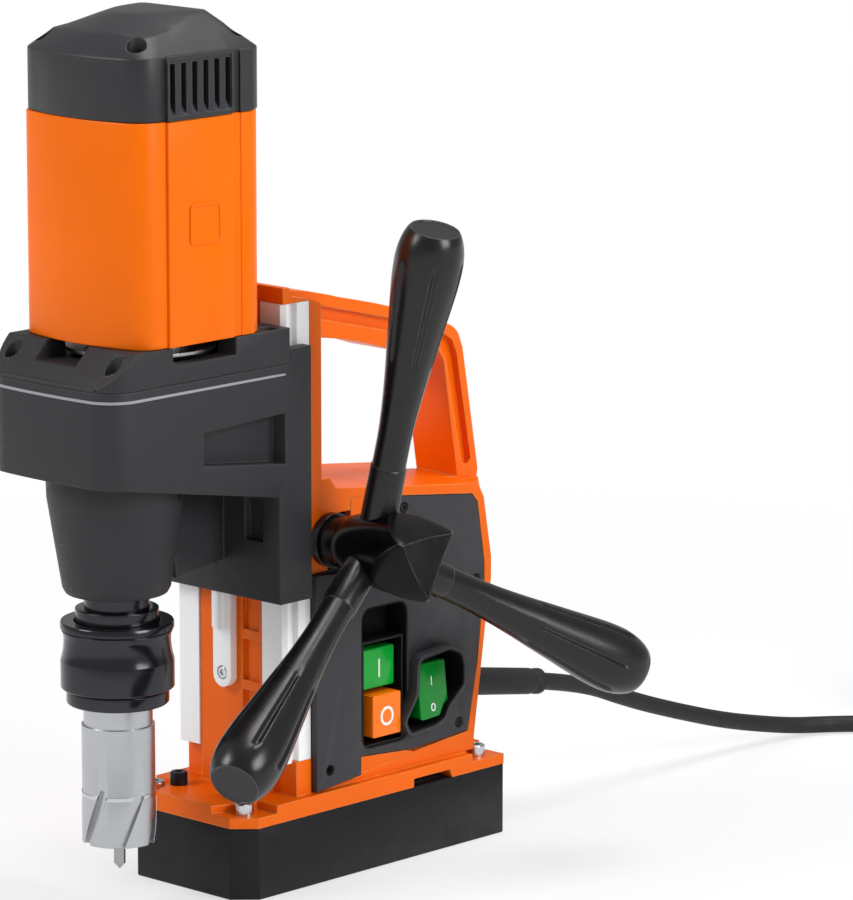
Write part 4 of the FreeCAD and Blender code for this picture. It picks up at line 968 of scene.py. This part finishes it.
def capstan_hub():
    """Round hub whose nose is cut to three facets, one facing each lever."""
    hub = turned("capstan_hub_made", HUB_PROFILE)
    lay(hub, FEED_AXIS, (1, 0, 0))
    for phase in ARM_PHASES:
        out = Vector((0, math.cos(phase), math.sin(phase)))
        facing = out * math.cos(FACET_TILT) + Vector((math.sin(FACET_TILT), 0, 0))
        trim(hub, Vector((FACET_LEVEL, *FEED_AXIS[1:])) + out * FACET_RADIUS, facing)
    ease(hub, 0.2, 24, 2)
    settle(hub, "hub_black", "capstan_hub")


# ---------------------------------------------------------------- switches

# A mark stands this far into its face and this far out of it.
MARK_SUNK = 0.05
MARK_PROUD = 0.12

RECESS = rounded(-5.9, 28.4, 63.4, 138.6, 6.4)
RECESS_HOLLOW = rounded(-5.2, 27.7, 64.1, 137.9, 5.8)
TRAY = rounded(-5.1, 25.4, 64.3, 120.7, 1)
TRAY_HOLLOW = rounded(-4.2, 24.3, 65.3, 119.4, 0.6)
START_FACE = 37.5
STOP_FACE = 43.5
BUTTON_BACK = 28.6
# Node, finish, face, and the outline of each button.
BUTTONS = (("start_button", "green_start", START_FACE, rounded(-2, 20.8, 94.3, 115.6, 0.9, 3)),
           ("stop_button", "orange_stop", STOP_FACE, rounded(-1.2, 19.8, 69.2, 91.8, 0.9, 3)))

ROCKER = softened([(34.2, 72.2), (48.6, 72.8), (52.4, 78.4), (55.6, 80.2), (55.6, 102.4),
                   (34.2, 102.4)], 1.2, 3)
ROCKER_BACK = 33
ROCKER_FACE = 43
ROCKER_LEAN = math.radians(6.4)
ROCKER_MIDDLE = (ROCKER_FACE * MM, 44 * MM, 86 * MM)
GUARD = softened([(19.4, 73.6), (24, 65.8), (45, 67.4), (52, 70.2), (55.2, 76.2), (66.9, 86.4),
                  (67, 99.4), (64.4, 106), (56, 110.2), (33, 108.2), (29.8, 104.6), (29, 88)], 3)
GUARD_OPENING = softened([(21.2, 74.2), (25, 67.6), (44, 69), (50.6, 71.4), (53.8, 77.6),
                          (65.5, 87.4), (65.6, 98.6), (63.4, 104.6), (55.4, 108.4),
                          (33.8, 106.4), (31.4, 103.4), (30.8, 87.6)], 2.4)
WELL_MIDDLE = (44, 88)
WELL_HOLLOW = 0.968


def upright_box(y, z, wide, high):
    """The sides of a box about its middle, in the order that an outline takes them."""
    return y - wide / 2, y + wide / 2, z - high / 2, z + high / 2


def mark_bar(name, face, y, z, high, wide):
    """An upright stroke moulded on a switch face."""
    return plate(name, rounded(*upright_box(y, z, wide, high), wide * 0.45, 3),
                 face - MARK_SUNK, face + MARK_PROUD)


def mark_ring(name, face, y, z, wide, high, line):
    """An oval ring moulded on a switch face."""
    ring = plate(name, rounded(*upright_box(y, z, wide, high), wide * 0.499, 8),
                 face - MARK_SUNK, face + MARK_PROUD)
    inner_wide, inner_high = wide - 2 * line, high - 2 * line
    hole = rounded(*upright_box(y, z, inner_wide, inner_high), inner_wide / 2 * 0.998, 8)
    combine(ring, plate("hole", hole, face - 1, face + 1))
    return ring


def push_buttons():
    """Start and stop buttons in their tray, in the recess behind the cover."""
    recess = plate("switch_recess", RECESS, 22.4, 39.7)
    combine(recess, plate("hollow", RECESS_HOLLOW, 24.6, 45))
    ease(recess, 0.3)
    # The recess is painted near black for the shade inside it.
    dress(recess, "hollow_black_painted_shade", "stand")
    tray = plate("switch_tray", TRAY, 25.4, 39.6)
    combine(tray, plate("hollow", TRAY_HOLLOW, 20, 45))
    ease(tray, 0.3)
    settle(tray, "switch_black", "switch_box")
    for node, finish, face, outline in BUTTONS:
        button = plate(node + "_made", outline, BUTTON_BACK, face)
        ease(button, 0.7)
        settle(button, finish, node)
    dress(mark_bar("start_mark", START_FACE, 9.4, 104.6, 10, 1.1), "mark_white", "start")
    dress(mark_ring("stop_mark", STOP_FACE, 9.2, 79.9, 9.6, 10.4, 1.5), "mark_white", "stop")


def rocker_switch():
    """The rocker, leaning in its guard over a well painted near black for the shade inside it."""
    rocker = plate("rocker_made", ROCKER, ROCKER_BACK, ROCKER_FACE)
    choose(rocker, lambda spot: spot.x > (ROCKER_FACE - 1) * MM)
    shape(rocker, bpy.ops.transform.rotate, value=ROCKER_LEAN, orient_axis="Y",
          center_override=ROCKER_MIDDLE)
    ease(rocker, 0.8)
    settle(rocker, "green_rocker", "rocker")
    for mark in (mark_bar("rocker_on_mark", ROCKER_FACE, 44, 92.6, 5, 0.7),
                 mark_ring("rocker_off_mark", ROCKER_FACE, 44, 78.3, 3.3, 4.4, 0.75)):
        shape_all(mark, bpy.ops.transform.rotate, value=ROCKER_LEAN, orient_axis="Y",
                  center_override=ROCKER_MIDDLE)
        dress(mark, "mark_white", "rocker_switch")
    guard = plate("rocker_guard", GUARD, 38.2, 46.2)
    combine(guard, plate("opening", GUARD_OPENING, 30, 60))
    ease(guard, 0.4, 50, 2)
    settle(guard, "cover_black", "rocker_frame")
    # The well behind the rocker is a sheet painted near black for the shade in the opening.
    well = plate("rocker_well", GUARD_OPENING, 25, 45.8)
    middle_y, middle_z = WELL_MIDDLE
    inner = [(middle_y + WELL_HOLLOW * (y - middle_y), middle_z + WELL_HOLLOW * (z - middle_z))
             for y, z in GUARD_OPENING]
    combine(well, plate("hollow", inner, 26.6, 60))
    dress(well, "hollow_black_painted_shade", "stand")


# ---------------------------------------------------------------- side cover

COVER = softened([(-43.4, 48.2), (-10.5, 51.4), (-10.5, 60.4), (27, 57.6), (33, 56.9),
                  (74.6, 59.6), (82.2, 96.6), (87.3, 140), (87.3, 149), (82, 183),
                  (77.7, 187.7), (22, 195), (6, 196.8), (6, 172), (-14, 164.4),
                  (-43.4, 163)], 1.6)
COVER_OPENING = rounded(-6, 28.5, 63.3, 138.7, 6.5)
COVER_STRIP = softened([(-43.4, 48.4), (-10.3, 51.6), (-10.3, 162.8), (-43.4, 162.8)], 0.8, 2)
COVER_SCREWS = [(-33.5, 58.4), (81, 141), (26, 188), (68, 65)]
COVER_FACES = (37, 40)
STRIP_FACES = (39.5, 44)
SCREW_SEAT = 38.4
SCREW_HOLE = 2.9
# Tools that cut right through the cover reach between these levels.
THROUGH = (30, 50)
# Short fills that close the stand's wall where the cover stops short of it.
WALL_FACES = (36, 39.97)
WALL_FILLS = {
    "wall_corner_low": [(-10.2, 50.6), (33, 55.6), (27, 57.3), (-10.2, 60.1)],
    "wall_corner_high": [(-13.9, 165), (5.7, 172.4), (5.7, 197.4), (-13.9, 199.3)],
}


def side_cover():
    """Plate over the switches with a proud strip along its front edge and one tall opening."""
    cover = plate("side_cover_made", COVER, *COVER_FACES)
    combine(cover, plate("opening", COVER_OPENING, *THROUGH))
    combine(cover, plate("rocker opening", GUARD_OPENING, *THROUGH))
    combine(cover, stud(*FEED_AXIS[1:], *THROUGH, 16))
    strip = plate("cover_strip", COVER_STRIP, *STRIP_FACES)
    combine(strip, stud(*FEED_AXIS[1:], *THROUGH, 18))
    for piece in (cover, strip):
        for y, z in COVER_SCREWS:
            combine(piece, stud(y, z, SCREW_SEAT, THROUGH[1], SCREW_HOLE))
        ease(piece, 0.5, 50, 2)
    settle(cover, "cover_black", "side_cover")
    dress(strip, "cover_black", "stand")
    for name, outline in WALL_FILLS.items():
        dress(plate(name, outline, *WALL_FACES), "orange_enamel", "stand")


# ---------------------------------------------------------------- motor

# Along the motor's sides: the raised panel, the strip behind it and the vent slots.
PANEL = (-148.5, -103.6)
REAR_STRIP = (-97.6, -88.5)
SLOT_PITCH = 7.6
SLOTS = [-144.5 + SLOT_PITCH * slot for slot in range(6)]
SLOT_HALF = 1.8
PANEL_PROUD = 47.1
STRIP_PROUD = 46.2
FRAME_PROUD = 47.3
RECESS_DEPTH = 46.4
HOUSING_LEVELS = (296.1, 408.9)

# The cap's plan: half its width, its front and its back.
CAP_HALF, CAP_FRONT, CAP_BACK = 44.5, -162.6, -78.5
CAP_BOW = 7.6
CAP_LEVELS = (409.2, 440.5)
CAP_SCREWS = [(-33, -156), (33, -156), (-33, -90), (33, -90)]
# The hip roof: how far its top rises, and how much smaller it is than the cap.
ROOF_RISE = 18
ROOF_SHARE = (0.55, 0.565, 1)
ROOF_MIDDLE = (0, -0.1225, 0.4585)
# The crown: its level and slope to the back, and the height, half width, half length and
# middle of its dome.
CROWN_LEVEL, CROWN_FRONT, CROWN_SLOPE = 448.8, -158, 0.095
DOME_RISE, DOME_HALF, DOME_REACH, DOME_MIDDLE = 9.4, 33, 47, -116


def crown():
    """The domed mass that the cap's top is cut from."""
    bpy.ops.object.select_all(action="DESELECT")
    bpy.ops.mesh.primitive_grid_add(x_subdivisions=40, y_subdivisions=40, size=0.14,
                                    location=(0, -0.12, 0))
    bpy.ops.object.transform_apply(location=True)
    made = bpy.context.object
    for vertex in made.data.vertices:
        x, y = vertex.co.x / MM, vertex.co.y / MM
        across = max(0, 1 - (x / DOME_HALF) ** 2)
        along = max(0, 1 - ((y - DOME_MIDDLE) / DOME_REACH) ** 2)
        slope = CROWN_SLOPE * (y - CROWN_FRONT)
        vertex.co.z = (CROWN_LEVEL + slope + DOME_RISE * across * along) * MM
    down = (0, 0, -60 * MM)
    shape_all(made, bpy.ops.mesh.extrude_region_move, TRANSFORM_OT_translate={"value": down})
    face_outward(made)
    return made


def cap_block():
    """The cap's plain block: bowed front, rounded corners, four shoulders and the crown."""
    bow = [(CAP_FRONT - CAP_BOW * (1 - (x / CAP_HALF) ** 2), x)
           for x in (-19, -12, -6, 0, 6, 12, 19)]
    outline = [(CAP_BACK, -CAP_HALF), (CAP_FRONT, -CAP_HALF)] + bow
    outline += [(CAP_FRONT, CAP_HALF), (CAP_BACK, CAP_HALF)]
    low, high = CAP_LEVELS
    block = plate("motor_cap_made", softened(outline, 12, 6), -high, -low)
    alone(block)
    block.rotation_euler = (0, math.radians(90), 0)
    bpy.ops.object.transform_apply(rotation=True)
    face_outward(block)
    top = (high - 0.5) * MM
    choose(block, lambda spot: spot.z > top)
    for polygon in block.data.polygons:
        polygon.select = all(block.data.vertices[corner].co.z > top
                             for corner in polygon.vertices)
    rise = (0, 0, ROOF_RISE * MM)
    shape(block, bpy.ops.mesh.extrude_region_move, TRANSFORM_OT_translate={"value": rise})
    shape(block, bpy.ops.transform.resize, value=ROOF_SHARE, center_override=ROOF_MIDDLE)
    combine(block, crown(), "INTERSECT")
    ease(block, 0.5, 28, 2)
    return block


def on_side(name, side, outline, inner, outer):
    """A slab on one side of the motor, from inner to outer away from its middle."""
    return plate(name, outline, *sorted((side * inner, side * outer)))


def side_panels(side, word):
    """The housing's raised panel and strip on one side."""
    for name, ends, proud in (("panel", PANEL, PANEL_PROUD), ("strip", REAR_STRIP, STRIP_PROUD)):
        outline = rounded(*ends, *HOUSING_LEVELS, 0.4, 1)
        panel = on_side("motor_%s_%s" % (name, word), side, outline, 43, proud)
        ease(panel, 0.6, 50, 2)
        dress(panel, "orange_plastic", "drill_head")


def side_vents(cap, side, word):
    """The cap's framed vents on one side, with a pale sloping sill behind the slots."""
    frame_outline = rounded(*PANEL, 409.3, 441.4, 0.8, 2)
    combine(cap, on_side("frame", side, frame_outline, 34, FRAME_PROUD), "UNION")
    strip = rounded(*REAR_STRIP, 409.3, 440.4, 0.4, 1)
    combine(cap, on_side("strip", side, strip, 40, STRIP_PROUD), "UNION")
    recess = rounded(PANEL[0] + 1.2, PANEL[1] - 0.9, 411.6, 439.6, 0.8, 2)
    combine(cap, on_side("recess", side, recess, RECESS_DEPTH, 50))
    for middle in SLOTS:
        slot = rounded(middle - SLOT_HALF, middle + SLOT_HALF, 412.4, 437.6, 0.5, 2)
        combine(cap, on_side("slot", side, slot, 37, 50))
    sill = on_side("vent_sill_" + word, side, rounded(-147, -104.8, 411.8, 418.6, 0.3, 1),
                   38, 46.2)
    choose(sill, lambda spot: spot.z > 416 * MM and abs(spot.x) > 42 * MM)
    shape(sill, bpy.ops.transform.translate, value=(-side * 5 * MM, 0, 0))
    dress(sill, "fan_plastic", "drill_head")


def badge_plate():
    """A bare raised plate with a rim, on the right side of the housing."""
    badge = plate("badge_plate", rounded(-134.5, -113.1, 345.9, 366.5, 2.6), 46.5, 48)
    ease(badge, 0.35)
    combine(badge, plate("field", rounded(-133.2, -114.4, 347.2, 365.2, 1.6), 47.6, 49))
    dress(badge, "orange_plastic", "drill_head")


def motor():
    """Motor housing with its side panels and badge plate, and the vented cap over it."""
    housing = copied("motor_housing")
    ease(housing, 0.7)
    settle(housing, "orange_plastic", "motor_housing")
    cap = cap_block()
    for x, y in CAP_SCREWS:
        combine(cap, post(x, y, 438, 480, 5))
    for side, word in ((-1, "left"), (1, "right")):
        side_panels(side, word)
        side_vents(cap, side, word)
    badge_plate()
    settle(cap, "moulded_black", "motor_cap")


eased_castings()
chuck_sleeve()
cutter()
seam_bead()
lever_grips()
capstan_hub()
push_buttons()
rocker_switch()
side_cover()
motor()
